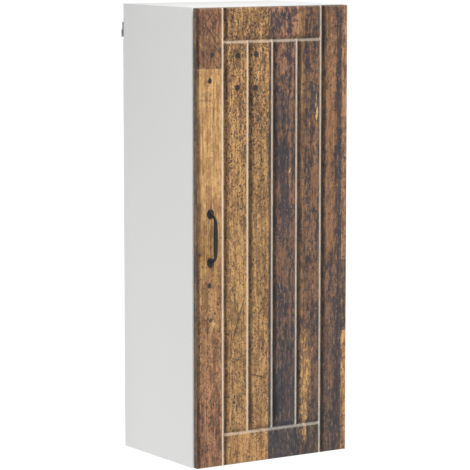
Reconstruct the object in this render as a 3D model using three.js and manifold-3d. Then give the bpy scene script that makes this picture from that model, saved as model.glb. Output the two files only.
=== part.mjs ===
// Hanging wall cabinet with one door, two loose shelves and two adjustable wall hangers.
// Millimetres. +X is the cabinet's right, +Y points to the wall, +Z is up.
// The origin is the middle of the back panel's rear face.
import * as THREE from 'three';
import { mergeVertices } from 'three/addons/utils/BufferGeometryUtils.js';
import Module from 'manifold-3d';

const wasm = await Module();
wasm.setup();

// Carcass
const WIDTH = 395;
const HEIGHT = 1000;
const DEPTH = 310;
const BOARD = 16;
const BACK_THICK = 3;
const BACK_INSET = 0.5;
const NOTCH_WIDTH = 60;
const NOTCH_HEIGHT = 79;
const SHELF_DEPTH = 265;
const SHELF_REAR_GAP = 2;
const SHELF_END_GAP = 1.3;

// Door
const DOOR_WIDTH = 392;
const DOOR_HEIGHT = 997;
const DOOR_THICK = 18;
const DOOR_GAP = 3;
const DOOR_ROUND = 2;
const GROOVE_WIDTH = 16;
const GROOVE_DEPTH = 4;
const GROOVE_STEPS = 8;
const STILE_WIDTH = 67;
const RAIL_HEIGHT = 71;
const GROOVE_PITCH = 63.9;
const GROOVE_COUNT = 5;

// Handle
const HANDLE_X = -164.5;
const HANDLE_Z = 4.5;
const HANDLE_CENTRES = 106;
const HANDLE_REACH = 22;
const HANDLE_BAR_WIDTH = 10.5;
const HANDLE_BAR_THICK = 6;
const ROSETTE_WIDTH = 17;
const ROSETTE_HEIGHT = 22;
const ROSETTE_RISE = 5.5;
const HANDLE_SCREW_BITE = 4.5;

// Hinges: single pivot, 35 mm cup
const HINGE_Z = 400;
const CUP_RADIUS = 17.5;
const CUP_WALL = 1;
const CUP_FLOOR = 0.6;
const CUP_DEPTH = 13.5;
const CUP_EDGE = 4;
const FLANGE_THICK = 1;
const FLANGE_RADIUS = 18.5;
const FLANGE_LENGTH = 60;
const FLANGE_WIDTH = 14;
const CUP_SCREW_SPACING = 48;
const CUP_SCREW_OFFSET = 6;
const PIVOT_EDGE = 8.1;
const PIVOT_DEPTH = 10.5;
const PIN_RADIUS = 1.2;
const PIN_LENGTH = 19.2;
const EYE_RADIUS = 2.1;
const NOSE_WIDTH = 9;
const ARM_THICK = 1.8;
const ARM_WIDTH = 13;
const ARM_STANDOFF = 8.5;
const ARM_REAR = 64;
const ARM_LIP = 1.2;
const ARM_LIP_FALL = 5.4;
const SIDE_SCREW_SETBACK = 15;
const ARM_SCREW_SETBACK = 43;
const ARM_NECK_LENGTH = 6;
const ARM_BEND = 2;
const PLATE_SETBACK = 37;
const PLATE_BASE = 2.6;
const PLATE_SPAN = 48;
const PLATE_WIDTH = 20;
const RAIL_WIDTH = 9.4;
const RAIL_LENGTH = 36;
const RAIL_RISE = 4.6;
const PLATE_SCREW_SPACING = 32;

// Hangers
const HANGER_WIDTH = 18;
const HANGER_DEPTH = 42;
const HANGER_HEIGHT = 62;
const HANGER_WALL = 2;
const HANGER_DROP = 18;
const HANGER_REAR_GAP = 4;
const HOOK_WIDTH = 12;
const HOOK_THICK = 2.5;
const HOOK_TOP = 40;
const HOOK_BOTTOM = 74;
const HOOK_STEP = 18;
const HOOK_NECK = 5.2;
const HOOK_REACH = 9.5;
const HOOK_LIP_END = 196.5;
const HOOK_TAB_Y = -20;
const HOOK_TAB_FALL = 27;
const ADJUSTER_DROP = 54;
const HANGER_SCREW_DROPS = [28, 70];
const HANGER_SCREW_SETBACK = 8;

// Fittings
const PIN_HOLE_RADIUS = 2.5;
const PIN_HOLE_FRONT = 37;
const PIN_HOLE_RUN = 192;
const SHELF_PIN_DEPTH = 9;
const SHELF_PIN_REACH = 8;
const SHELF_PIN_COLLAR = 4;
const SHELF_PIN_COLLAR_THICK = 1;
const CAM_RADIUS = 7.5;
const CAM_DEPTH = 12;
const CAM_INSET = 24;
const CAM_EDGE = 40;
const CAM_SLOT_LENGTH = 10;
const CAM_SLOT_WIDTH = 1.2;
const CAM_SLOT_DEPTH = 1;
const BUMPER_RADIUS = 4;
const BUMPER_THICK = 2.6;
const BUMPER_DROP = 18.5;

// Screws: head radius, head height, shank radius, length under the head
const CUP_SCREW = { head: 3.3, rise: 1.2, shank: 1.75, length: 12 };
const PLATE_SCREW = { head: 4, rise: 1.4, shank: 2.45, length: 12 };
const ARM_SCREW = { head: 3.2, rise: 1.8, shank: 1.8, length: 7 };
const SIDE_SCREW = { head: 2.9, rise: 1.2, shank: 2.2, length: 5.4 };
const HANDLE_SCREW = { head: 4.2, rise: 2.2, shank: 2, length: 22 };
const HANGER_SCREW = { head: 3.4, rise: 1.6, shank: 1.75, length: 11 };
const ADJUSTER = { head: 4.5, rise: 3, shank: 2.5, length: 38 };

const FACETS = 12;
const ROSETTE_FACETS = 20;
const CAM_FACETS = 20;
const CUP_FACETS = 36;
const FIT = 0.05;
const TURNING_FIT = 0.25;
const HEAD_CROWN = 0.75;
const HEAD_RIM = 0.4;
const OVERRUN = 5;

const HALF_WIDTH = WIDTH / 2;
const HALF_HEIGHT = HEIGHT / 2;
const INNER_X = HALF_WIDTH - BOARD;
const INNER_Z = HALF_HEIGHT - BOARD;
const DOOR_FRONT = -DEPTH;
const DOOR_BACK = DOOR_FRONT + DOOR_THICK;
const FRONT = DOOR_BACK + DOOR_GAP;
const REAR = -BACK_THICK;
const DOOR_EDGE = DOOR_WIDTH / 2;
const CUP_X = DOOR_EDGE - CUP_EDGE - CUP_RADIUS;
const PIVOT_X = DOOR_EDGE - PIVOT_EDGE;
const PIVOT_Y = DOOR_BACK - PIVOT_DEPTH;
const COMPARTMENT = (2 * INNER_Z - 2 * BOARD) / 3;
const HANGER_REAR = REAR - HANGER_REAR_GAP;
const HANGER_FRONT = HANGER_REAR - HANGER_DEPTH;
const HANGER_SCREW_Y = HANGER_FRONT + HANGER_SCREW_SETBACK;
const ADJUSTER_Z = HALF_HEIGHT - ADJUSTER_DROP;

const MATERIALS = {
  melamine: { color: 0xeeeeec, roughness: 0.5, metalness: 0 },
  hardboard: { color: 0xe4e2dd, roughness: 0.8, metalness: 0 },
  old_wood: { color: 0x8c6a4c, roughness: 0.6, metalness: 0 },
  black_iron: { color: 0x1c2226, roughness: 0.45, metalness: 0.6 },
  nickel: { color: 0xb4b6b8, roughness: 0.3, metalness: 1 },
  zinc: { color: 0x9fa3a6, roughness: 0.4, metalness: 1 },
  zamak: { color: 0x8d9092, roughness: 0.45, metalness: 1 },
  white_plastic: { color: 0xe9e9e6, roughness: 0.45, metalness: 0 },
  silicone: { color: 0xd8dcdc, roughness: 0.35, metalness: 0 },
};

// A three.js geometry as a solid that can be cut and joined.
function toSolid(geometry) {
  const bare = geometry.index ? geometry.toNonIndexed() : geometry.clone();
  bare.deleteAttribute('normal');
  bare.deleteAttribute('uv');
  const welded = mergeVertices(bare, 1e-4);
  return new wasm.Manifold(new wasm.Mesh({
    numProp: 3,
    vertProperties: new Float32Array(welded.attributes.position.array),
    triVerts: new Uint32Array(welded.index.array),
  }));
}

// A solid as a three.js geometry with flat-shaded normals.
function toGeometry(solid) {
  const mesh = solid.getMesh();
  const geometry = new THREE.BufferGeometry();
  geometry.setAttribute('position', new THREE.BufferAttribute(new Float32Array(mesh.vertProperties), 3));
  geometry.setIndex(new THREE.BufferAttribute(new Uint32Array(mesh.triVerts), 1));
  geometry.computeVertexNormals();
  return geometry;
}

// A box between two opposite corners.
function boxBetween(low, high) {
  const size = low.map((value, axis) => high[axis] - value);
  const geometry = new THREE.BoxGeometry(size[0], size[1], size[2]);
  geometry.translate(...low.map((value, axis) => value + size[axis] / 2));
  return toSolid(geometry);
}

// A round bar of one radius from one point to another.
function bar(from, to, radius, facets = FACETS) {
  const start = new THREE.Vector3(...from);
  const run = new THREE.Vector3(...to).sub(start);
  const geometry = new THREE.CylinderGeometry(radius, radius, run.length(), facets);
  const turn = new THREE.Quaternion().setFromUnitVectors(new THREE.Vector3(0, 1, 0), run.clone().normalize());
  geometry.applyQuaternion(turn);
  geometry.translate(...start.addScaledVector(run, 0.5).toArray());
  return toSolid(geometry);
}

// A closed outline pushed along an axis. Along X the outline is in (y, z), along Z in (x, y).
function prism(points, low, high, axis) {
  const shape = new THREE.Shape(points.map(([u, v]) => new THREE.Vector2(u, v)));
  const geometry = new THREE.ExtrudeGeometry(shape, { depth: high - low, bevelEnabled: false });
  geometry.translate(0, 0, low);
  if (axis === 'x') {
    const basis = [new THREE.Vector3(0, 1, 0), new THREE.Vector3(0, 0, 1), new THREE.Vector3(1, 0, 0)];
    geometry.applyMatrix4(new THREE.Matrix4().makeBasis(...basis));
  }
  return toSolid(geometry);
}

// A turned profile of (radius, run) pairs about the line from a point along a direction.
function turned(profile, origin, direction, facets = FACETS) {
  const geometry = new THREE.LatheGeometry(profile.map(([r, run]) => new THREE.Vector2(r, run)), facets);
  const turn = new THREE.Quaternion().setFromUnitVectors(
    new THREE.Vector3(0, 1, 0),
    new THREE.Vector3(...direction),
  );
  geometry.applyQuaternion(turn);
  geometry.translate(...origin);
  return toSolid(geometry);
}

// A screw whose head stands on a face and whose shank runs along the direction.
function screw(kind, origin, direction) {
  return turned([
    [0, -kind.rise],
    [kind.head * HEAD_CROWN, -kind.rise],
    [kind.head, -kind.rise * HEAD_RIM],
    [kind.head, 0],
    [kind.shank, 0],
    [kind.shank, kind.length - kind.shank],
    [0, kind.length],
  ], origin, direction);
}

const group = new THREE.Group();
group.name = 'wall_cabinet';

// Adds one named piece to a sub-group.
function addPiece(parent, name, solid, material) {
  const mesh = new THREE.Mesh(toGeometry(solid), new THREE.MeshStandardMaterial(MATERIALS[material]));
  mesh.name = name;
  parent.add(mesh);
}

function addGroup(name) {
  const sub = new THREE.Group();
  sub.name = name;
  group.add(sub);
  return sub;
}

// Where the shelves lie: underside of each, from the bottom up.
const SHELVES = [
  { name: 'lower', under: -INNER_Z + COMPARTMENT },
  { name: 'upper', under: -INNER_Z + 2 * COMPARTMENT + BOARD },
];
const PIN_ROWS = [
  { name: 'front', y: FRONT + PIN_HOLE_FRONT },
  { name: 'rear', y: FRONT + PIN_HOLE_FRONT + PIN_HOLE_RUN },
];
const HANDS = [
  { name: 'left', sign: -1 },
  { name: 'right', sign: 1 },
];
const HINGES = [
  { name: 'lower', z: -HINGE_Z },
  { name: 'upper', z: HINGE_Z },
];

function shelfPinHole(sign, row, shelf) {
  const z = shelf.under - PIN_HOLE_RADIUS;
  return bar([sign * (INNER_X - OVERRUN), row.y, z],
    [sign * (INNER_X + SHELF_PIN_DEPTH + FIT), row.y, z], PIN_HOLE_RADIUS);
}

function hangerScrewHole(sign, drop) {
  const z = HALF_HEIGHT - drop;
  const end = INNER_X - HANGER_WALL + HANGER_SCREW.length + FIT;
  return bar([sign * (INNER_X - OVERRUN), HANGER_SCREW_Y, z],
    [sign * end, HANGER_SCREW_Y, z], HANGER_SCREW.shank + FIT);
}

function plateScrewHole(z, offset) {
  const y = FRONT + PLATE_SETBACK;
  const end = INNER_X - PLATE_BASE + PLATE_SCREW.length + FIT;
  return bar([INNER_X - OVERRUN, y, z + offset], [end, y, z + offset], PLATE_SCREW.shank + FIT);
}

// A side board with the holes that carry pins, hangers and hinge plates.
function sideBoard(hand) {
  const inner = hand.sign * INNER_X;
  const outer = hand.sign * HALF_WIDTH;
  let board = boxBetween(
    [Math.min(inner, outer), FRONT, -HALF_HEIGHT],
    [Math.max(inner, outer), REAR, HALF_HEIGHT],
  );
  for (const shelf of SHELVES) {
    for (const row of PIN_ROWS) {
      board = board.subtract(shelfPinHole(hand.sign, row, shelf));
    }
  }
  for (const drop of HANGER_SCREW_DROPS) {
    board = board.subtract(hangerScrewHole(hand.sign, drop));
  }
  if (hand.sign > 0) {
    for (const hinge of HINGES) {
      for (const offset of [-PLATE_SCREW_SPACING / 2, PLATE_SCREW_SPACING / 2]) {
        board = board.subtract(plateScrewHole(hinge.z, offset));
      }
    }
  }
  return board;
}

// Cam centres on one fixed board: two at each end.
function camCentres() {
  const centres = [];
  for (const hand of HANDS) {
    for (const [name, y] of [['front', FRONT + CAM_EDGE], ['rear', REAR - CAM_EDGE]]) {
      centres.push({ name: `${hand.name}_${name}`, x: hand.sign * (INNER_X - CAM_INSET), y });
    }
  }
  return centres;
}

// The top or bottom board, with pockets for the cams in its inner face.
function endBoard(sign) {
  const inner = sign * INNER_Z;
  const outer = sign * HALF_HEIGHT;
  let board = boxBetween([-INNER_X, FRONT, Math.min(inner, outer)], [INNER_X, REAR, Math.max(inner, outer)]);
  for (const centre of camCentres()) {
    board = board.subtract(bar([centre.x, centre.y, inner - sign * OVERRUN],
      [centre.x, centre.y, inner + sign * (CAM_DEPTH + FIT)], CAM_RADIUS + FIT, CAM_FACETS));
  }
  return board;
}

function camLock(centre, sign) {
  const inner = sign * INNER_Z;
  const slot = boxBetween(
    [centre.x - CAM_SLOT_LENGTH / 2, centre.y - CAM_SLOT_WIDTH / 2, inner - CAM_SLOT_DEPTH],
    [centre.x + CAM_SLOT_LENGTH / 2, centre.y + CAM_SLOT_WIDTH / 2, inner + CAM_SLOT_DEPTH],
  );
  const end = [centre.x, centre.y, inner + sign * CAM_DEPTH];
  return bar([centre.x, centre.y, inner], end, CAM_RADIUS, CAM_FACETS).subtract(slot);
}

// The thin back, notched at both top corners so the hangers reach the wall.
function backPanel() {
  const x = HALF_WIDTH - BACK_INSET;
  const z = HALF_HEIGHT - BACK_INSET;
  let panel = boxBetween([-x, REAR, -z], [x, 0, z]);
  for (const hand of HANDS) {
    const edge = hand.sign * (x + OVERRUN);
    const inner = hand.sign * (HALF_WIDTH - NOTCH_WIDTH);
    panel = panel.subtract(boxBetween(
      [Math.min(edge, inner), REAR - OVERRUN, HALF_HEIGHT - NOTCH_HEIGHT],
      [Math.max(edge, inner), OVERRUN, HALF_HEIGHT + OVERRUN],
    ));
  }
  return panel;
}

function shelfBoard(shelf) {
  const x = INNER_X - SHELF_END_GAP;
  const rear = REAR - SHELF_REAR_GAP;
  return boxBetween([-x, rear - SHELF_DEPTH, shelf.under], [x, rear, shelf.under + BOARD]);
}

// A shelf pin: a shank in the side board, a thin collar and a peg under the shelf.
function shelfPin(hand, row, shelf) {
  const shank = PIN_HOLE_RADIUS - FIT;
  return turned([
    [0, -SHELF_PIN_REACH],
    [PIN_HOLE_RADIUS, -SHELF_PIN_REACH],
    [PIN_HOLE_RADIUS, -SHELF_PIN_COLLAR_THICK],
    [SHELF_PIN_COLLAR, -SHELF_PIN_COLLAR_THICK],
    [SHELF_PIN_COLLAR, 0],
    [shank, 0],
    [shank, SHELF_PIN_DEPTH - SHELF_PIN_COLLAR_THICK],
    [shank / 2, SHELF_PIN_DEPTH],
    [0, SHELF_PIN_DEPTH],
  ], [hand.sign * INNER_X, row.y, shelf.under - PIN_HOLE_RADIUS], [hand.sign, 0, 0]);
}

function addCarcass() {
  const carcass = addGroup('carcass');
  for (const hand of HANDS) {
    addPiece(carcass, `side_${hand.name}`, sideBoard(hand), 'melamine');
  }
  addPiece(carcass, 'top_panel', endBoard(1), 'melamine');
  addPiece(carcass, 'bottom_panel', endBoard(-1), 'melamine');
  addPiece(carcass, 'back_panel', backPanel(), 'hardboard');
  for (const [level, sign] of [['top', 1], ['bottom', -1]]) {
    for (const centre of camCentres()) {
      addPiece(carcass, `cam_${level}_${centre.name}`, camLock(centre, sign), 'zamak');
    }
  }
}

function addShelves() {
  const shelves = addGroup('shelves');
  for (const shelf of SHELVES) {
    addPiece(shelves, `shelf_${shelf.name}`, shelfBoard(shelf), 'melamine');
    for (const hand of HANDS) {
      for (const row of PIN_ROWS) {
        const name = `shelf_pin_${shelf.name}_${hand.name}_${row.name}`;
        addPiece(shelves, name, shelfPin(hand, row, shelf), 'nickel');
      }
    }
  }
}

function hangerMiddle(hand) {
  return hand.sign * (INNER_X - HANGER_WIDTH / 2);
}

// A hole for the adjusting screw through a wall at the given y, wide enough for the screw to turn.
function adjusterHole(hand, y) {
  const x = hangerMiddle(hand);
  return bar([x, y - OVERRUN, ADJUSTER_Z], [x, y + OVERRUN, ADJUSTER_Z], ADJUSTER.shank + TURNING_FIT);
}

// The hanger's housing: a box open to the rear, screwed to the side board under the top.
function hangerBody(hand) {
  const wallX = hand.sign * INNER_X;
  const freeX = hand.sign * (INNER_X - HANGER_WIDTH);
  const top = HALF_HEIGHT - HANGER_DROP;
  const low = top - HANGER_HEIGHT;
  const inset = hand.sign * HANGER_WALL;
  const block = boxBetween(
    [Math.min(wallX, freeX), HANGER_FRONT, low],
    [Math.max(wallX, freeX), HANGER_REAR, top],
  );
  const room = boxBetween(
    [Math.min(wallX - inset, freeX + inset), HANGER_FRONT + HANGER_WALL, low + HANGER_WALL],
    [Math.max(wallX - inset, freeX + inset), HANGER_REAR + OVERRUN, top - HANGER_WALL],
  );
  let body = block.subtract(room);
  for (const drop of HANGER_SCREW_DROPS) {
    body = body.subtract(hangerScrewHole(hand.sign, drop));
  }
  return body.subtract(adjusterHole(hand, HANGER_FRONT));
}

// The hook: an arm through the notch, a tab inside the housing, and a stepped lip behind the wall
// plane, broader than the arm, that runs out behind the side board.
function hangerHook(hand) {
  const top = HALF_HEIGHT - HOOK_TOP;
  const low = HALF_HEIGHT - HOOK_BOTTOM;
  const step = top - HOOK_STEP;
  const t = HOOK_THICK;
  const profile = [
    [HOOK_TAB_Y, top],
    [HOOK_NECK - 1, top],
    [HOOK_NECK, top - 1],
    [HOOK_NECK, step + t],
    [HOOK_REACH, step - 1],
    [HOOK_REACH, low],
    [HOOK_REACH - t, low],
    [HOOK_REACH - t, step - t],
    [HOOK_NECK - t, step],
    [HOOK_NECK - t, top - t],
    [HOOK_TAB_Y + t, top - t],
    [HOOK_TAB_Y + t, top - HOOK_TAB_FALL],
    [HOOK_TAB_Y, top - HOOK_TAB_FALL],
  ];
  const middle = hangerMiddle(hand);
  const arm = prism(profile, middle - HOOK_WIDTH / 2, middle + HOOK_WIDTH / 2, 'x');
  const lip = [
    [HOOK_NECK, top - 1],
    [HOOK_NECK, step + t],
    [HOOK_REACH, step - 1],
    [HOOK_REACH, low],
    [HOOK_REACH - t, low],
    [HOOK_REACH - t, step - t],
    [HOOK_NECK - t, step],
    [HOOK_NECK - t, top - 1],
  ];
  const way = Math.sign(middle);
  const ends = [middle - way * HOOK_WIDTH / 2, way * HOOK_LIP_END];
  const plate = prism(lip, Math.min(...ends), Math.max(...ends), 'x');
  return arm.add(plate).subtract(adjusterHole(hand, HOOK_TAB_Y));
}

// The screw that pulls the cabinet to the wall: its head is reached from inside the cabinet.
function hangerAdjuster(hand) {
  return screw(ADJUSTER, [hangerMiddle(hand), HANGER_FRONT, ADJUSTER_Z], [0, 1, 0]);
}

function addHangers() {
  for (const hand of HANDS) {
    const hanger = addGroup(`hanger_${hand.name}`);
    addPiece(hanger, `hanger_body_${hand.name}`, hangerBody(hand), 'white_plastic');
    addPiece(hanger, `hanger_hook_${hand.name}`, hangerHook(hand), 'zinc');
    addPiece(hanger, `hanger_adjuster_${hand.name}`, hangerAdjuster(hand), 'zinc');
    HANGER_SCREW_DROPS.forEach((drop, index) => {
      const origin = [hand.sign * (INNER_X - HANGER_WALL), HANGER_SCREW_Y, HALF_HEIGHT - drop];
      const solid = screw(HANGER_SCREW, origin, [hand.sign, 0, 0]);
      addPiece(hanger, `hanger_screw_${hand.name}_${index + 1}`, solid, 'zinc');
    });
  }
}

// The round-bottomed cutter of one groove, running along +Z with its mouth at y = 0.
function grooveCutter(low, high) {
  const half = GROOVE_WIDTH / 2;
  const points = [[half, -OVERRUN], [half, 0]];
  for (let step = 1; step < GROOVE_STEPS; step += 1) {
    const angle = Math.PI * step / GROOVE_STEPS;
    points.push([half * Math.cos(angle), GROOVE_DEPTH * Math.sin(angle)]);
  }
  points.push([-half, 0], [-half, -OVERRUN]);
  return prism(points, low, high, 'z');
}

function grooveX(index) {
  return -DOOR_EDGE + STILE_WIDTH + index * GROOVE_PITCH;
}

// The door blank: all arrises rounded.
function doorBlank() {
  const x = DOOR_WIDTH / 2 - DOOR_ROUND;
  const z = DOOR_HEIGHT / 2 - DOOR_ROUND;
  const outline = [[-x, -z], [x, -z], [x, z], [-x, z]];
  const shape = new THREE.Shape(outline.map(([u, v]) => new THREE.Vector2(u, v)));
  const geometry = new THREE.ExtrudeGeometry(shape, {
    depth: DOOR_THICK - 2 * DOOR_ROUND,
    bevelThickness: DOOR_ROUND,
    bevelSize: DOOR_ROUND,
    bevelSegments: 2,
  });
  geometry.rotateX(Math.PI / 2);
  geometry.translate(0, DOOR_BACK - DOOR_ROUND, 0);
  return toSolid(geometry);
}

// Outer grooves run the full height, inner ones between the two cross grooves.
function doorGrooves() {
  const cutters = [];
  const crossZ = DOOR_HEIGHT / 2 - RAIL_HEIGHT;
  const last = GROOVE_COUNT - 1;
  for (let index = 0; index <= last; index += 1) {
    const outer = index === 0 || index === last;
    const reach = outer ? DOOR_HEIGHT / 2 + OVERRUN : crossZ;
    cutters.push(grooveCutter(-reach, reach).translate([grooveX(index), DOOR_FRONT, 0]));
  }
  for (const z of [-crossZ, crossZ]) {
    cutters.push(grooveCutter(grooveX(0), grooveX(last)).rotate([0, 90, 0]).translate([0, DOOR_FRONT, z]));
  }
  return wasm.Manifold.union(cutters);
}

function cupScrewSpots(hinge) {
  return [-1, 1].map((side) => [
    CUP_X - CUP_SCREW_OFFSET,
    DOOR_BACK + FLANGE_THICK,
    hinge.z + side * CUP_SCREW_SPACING / 2,
  ]);
}

function handleScrewSpots() {
  return [-1, 1].map((side) => [HANDLE_X, DOOR_BACK, HANDLE_Z + side * HANDLE_CENTRES / 2]);
}

// The door leaf: grooved front, cup pockets and screw holes behind.
function doorLeaf() {
  let leaf = doorBlank().subtract(doorGrooves());
  for (const hinge of HINGES) {
    leaf = leaf.subtract(bar([CUP_X, DOOR_BACK + OVERRUN, hinge.z],
      [CUP_X, DOOR_BACK - CUP_DEPTH - FIT, hinge.z], CUP_RADIUS + FIT, CUP_FACETS));
    for (const [x, y, z] of cupScrewSpots(hinge)) {
      leaf = leaf.subtract(bar([x, y, z], [x, y - CUP_SCREW.length - FIT, z], CUP_SCREW.shank + FIT));
    }
  }
  for (const [x, y, z] of handleScrewSpots()) {
    const radius = HANDLE_SCREW.shank + TURNING_FIT;
    leaf = leaf.subtract(bar([x, y + OVERRUN, z], [x, DOOR_FRONT - OVERRUN, z], radius));
  }
  return leaf;
}

// One swept strand from rosette to rosette with a rounded section.
function handleStrand() {
  const half = HANDLE_CENTRES / 2;
  const arch = [[1, 0.1], [0.96, 0.28], [0.86, 0.52], [0.72, 0.76], [0.5, 0.93], [0.22, 1]];
  const upper = arch.map(([along, out]) => new THREE.Vector3(0, -HANDLE_REACH * out, half * along));
  const lower = upper.slice().reverse().map((point) => new THREE.Vector3(0, point.y, -point.z));
  const middle = new THREE.Vector3(0, -HANDLE_REACH, 0);
  const path = new THREE.CatmullRomCurve3([...upper, middle, ...lower]);
  const section = [];
  const sides = 12;
  for (let side = 0; side < sides; side += 1) {
    const angle = 2 * Math.PI * side / sides;
    section.push(new THREE.Vector2(
      HANDLE_BAR_WIDTH / 2 * Math.cos(angle),
      HANDLE_BAR_THICK / 2 * Math.sin(angle),
    ));
  }
  return toSolid(new THREE.ExtrudeGeometry(new THREE.Shape(section), { steps: 36, extrudePath: path }));
}

// A low oval boss that seats on the door.
function rosette(z) {
  const geometry = new THREE.LatheGeometry([
    [0, 0],
    [1, 0],
    [1, 0.3],
    [0.86, 0.62],
    [0.55, 0.9],
    [0, 1],
  ].map(([r, run]) => new THREE.Vector2(r, run)), ROSETTE_FACETS);
  geometry.scale(ROSETTE_WIDTH / 2, ROSETTE_RISE, ROSETTE_HEIGHT / 2);
  geometry.rotateX(Math.PI);
  geometry.translate(0, 0, z);
  return toSolid(geometry);
}

// The cast arch pull: two bosses and the strand between them in one piece.
function handlePull() {
  const half = HANDLE_CENTRES / 2;
  let pull = wasm.Manifold.union([handleStrand(), rosette(half), rosette(-half)]);
  for (const z of [-half, half]) {
    pull = pull.subtract(bar([0, OVERRUN, z], [0, -HANDLE_SCREW_BITE, z], HANDLE_SCREW.shank + FIT));
  }
  return pull.translate([HANDLE_X, DOOR_FRONT, HANDLE_Z]);
}

function addDoor() {
  const door = addGroup('door');
  addPiece(door, 'door_leaf', doorLeaf(), 'old_wood');
  addPiece(door, 'handle', handlePull(), 'black_iron');
  handleScrewSpots().forEach((spot, index) => {
    addPiece(door, `handle_screw_${index + 1}`, screw(HANDLE_SCREW, spot, [0, -1, 0]), 'zinc');
  });
  for (const [name, sign] of [['lower', -1], ['upper', 1]]) {
    const x = -HALF_WIDTH + BOARD / 2;
    const z = sign * (DOOR_HEIGHT / 2 - BUMPER_DROP);
    const pad = bar([x, DOOR_BACK, z], [x, DOOR_BACK + BUMPER_THICK, z], BUMPER_RADIUS);
    addPiece(door, `bumper_${name}`, pad, 'silicone');
  }
}

// The cup with its screw-on flange, open to the cabinet, bored for the pivot pin.
function hingeCup(hinge) {
  const floor = DOOR_BACK - CUP_DEPTH;
  const lip = DOOR_BACK + FLANGE_THICK;
  const outer = bar([CUP_X, floor, hinge.z], [CUP_X, lip, hinge.z], CUP_RADIUS, CUP_FACETS);
  const disc = bar([CUP_X, DOOR_BACK, hinge.z], [CUP_X, lip, hinge.z], FLANGE_RADIUS, CUP_FACETS);
  const wingX = CUP_X - CUP_SCREW_OFFSET;
  const wing = boxBetween(
    [wingX - FLANGE_WIDTH / 2, DOOR_BACK, hinge.z - FLANGE_LENGTH / 2],
    [wingX + FLANGE_WIDTH / 2, lip, hinge.z + FLANGE_LENGTH / 2],
  );
  const room = bar([CUP_X, floor + CUP_FLOOR, hinge.z], [CUP_X, lip + OVERRUN, hinge.z],
    CUP_RADIUS - CUP_WALL, CUP_FACETS);
  const pinHole = pivotBar(hinge, PIN_LENGTH + 2 * FIT, PIN_RADIUS + FIT);
  let cup = wasm.Manifold.union([outer, disc, wing]).subtract(room).subtract(pinHole);
  for (const [x, y, z] of cupScrewSpots(hinge)) {
    cup = cup.subtract(bar([x, y + OVERRUN, z], [x, y - OVERRUN, z], CUP_SCREW.shank + FIT));
  }
  return cup;
}

// A bar on the door's turning axis, centred on the hinge.
function pivotBar(hinge, length, radius) {
  return bar([PIVOT_X, PIVOT_Y, hinge.z - length / 2], [PIVOT_X, PIVOT_Y, hinge.z + length / 2], radius);
}

// The goose-necked arm: an eye on the pin, a neck out of the cup and a channel along the side board.
function hingeArm(hinge) {
  const webX = INNER_X - ARM_STANDOFF;
  const soleY = PIVOT_Y - EYE_RADIUS;
  const front = FRONT + ARM_NECK_LENGTH;
  const rear = FRONT + ARM_REAR;
  const half = NOSE_WIDTH / 2;
  const outerBend = ARM_BEND * Math.SQRT2;
  const neck = prism([
    [PIVOT_X, soleY],
    [PIVOT_X, soleY + ARM_THICK],
    [webX + ARM_BEND, soleY + ARM_THICK],
    [webX, soleY + ARM_THICK + ARM_BEND],
    [webX, rear],
    [webX - ARM_THICK, rear],
    [webX - ARM_THICK, soleY + outerBend],
    [webX - ARM_THICK + outerBend, soleY],
  ], hinge.z - half, hinge.z + half, 'z');
  const eye = pivotBar(hinge, NOSE_WIDTH, EYE_RADIUS);
  const web = boxBetween(
    [webX - ARM_THICK, front, hinge.z - ARM_WIDTH / 2],
    [webX, rear, hinge.z + ARM_WIDTH / 2],
  );
  const lips = [-1, 1].map((side) => {
    const outer = hinge.z + side * ARM_WIDTH / 2;
    const inner = outer - side * ARM_LIP;
    return boxBetween([webX - ARM_THICK, front, Math.min(outer, inner)],
      [webX + ARM_LIP_FALL, rear, Math.max(outer, inner)]);
  });
  return wasm.Manifold.union([neck, eye, web, ...lips])
    .subtract(pivotBar(hinge, 2 * NOSE_WIDTH, PIN_RADIUS + FIT))
    .subtract(armScrewCut(hinge, ARM_SCREW_SETBACK, ARM_SCREW.shank + TURNING_FIT))
    .subtract(armScrewCut(hinge, SIDE_SCREW_SETBACK, SIDE_SCREW.shank + FIT));
}

function armScrewCut(hinge, setback, radius) {
  const webX = INNER_X - ARM_STANDOFF;
  const y = FRONT + setback;
  return bar([webX - OVERRUN, y, hinge.z], [INNER_X - FIT, y, hinge.z], radius);
}

// The plate on the side board: a base across the arm and a rail inside its channel.
function hingePlate(hinge) {
  const y = FRONT + PLATE_SETBACK;
  const baseX = INNER_X - PLATE_BASE;
  const base = boxBetween([baseX, y - PLATE_WIDTH / 2, hinge.z - PLATE_SPAN / 2],
    [INNER_X, y + PLATE_WIDTH / 2, hinge.z + PLATE_SPAN / 2]);
  const rail = boxBetween([baseX - RAIL_RISE, y - RAIL_LENGTH / 2, hinge.z - RAIL_WIDTH / 2],
    [INNER_X, y + RAIL_LENGTH / 2, hinge.z + RAIL_WIDTH / 2]);
  let plate = base.add(rail).subtract(armScrewCut(hinge, ARM_SCREW_SETBACK, ARM_SCREW.shank + FIT));
  for (const offset of [-PLATE_SCREW_SPACING / 2, PLATE_SCREW_SPACING / 2]) {
    plate = plate.subtract(plateScrewHole(hinge.z, offset));
  }
  return plate;
}

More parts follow.
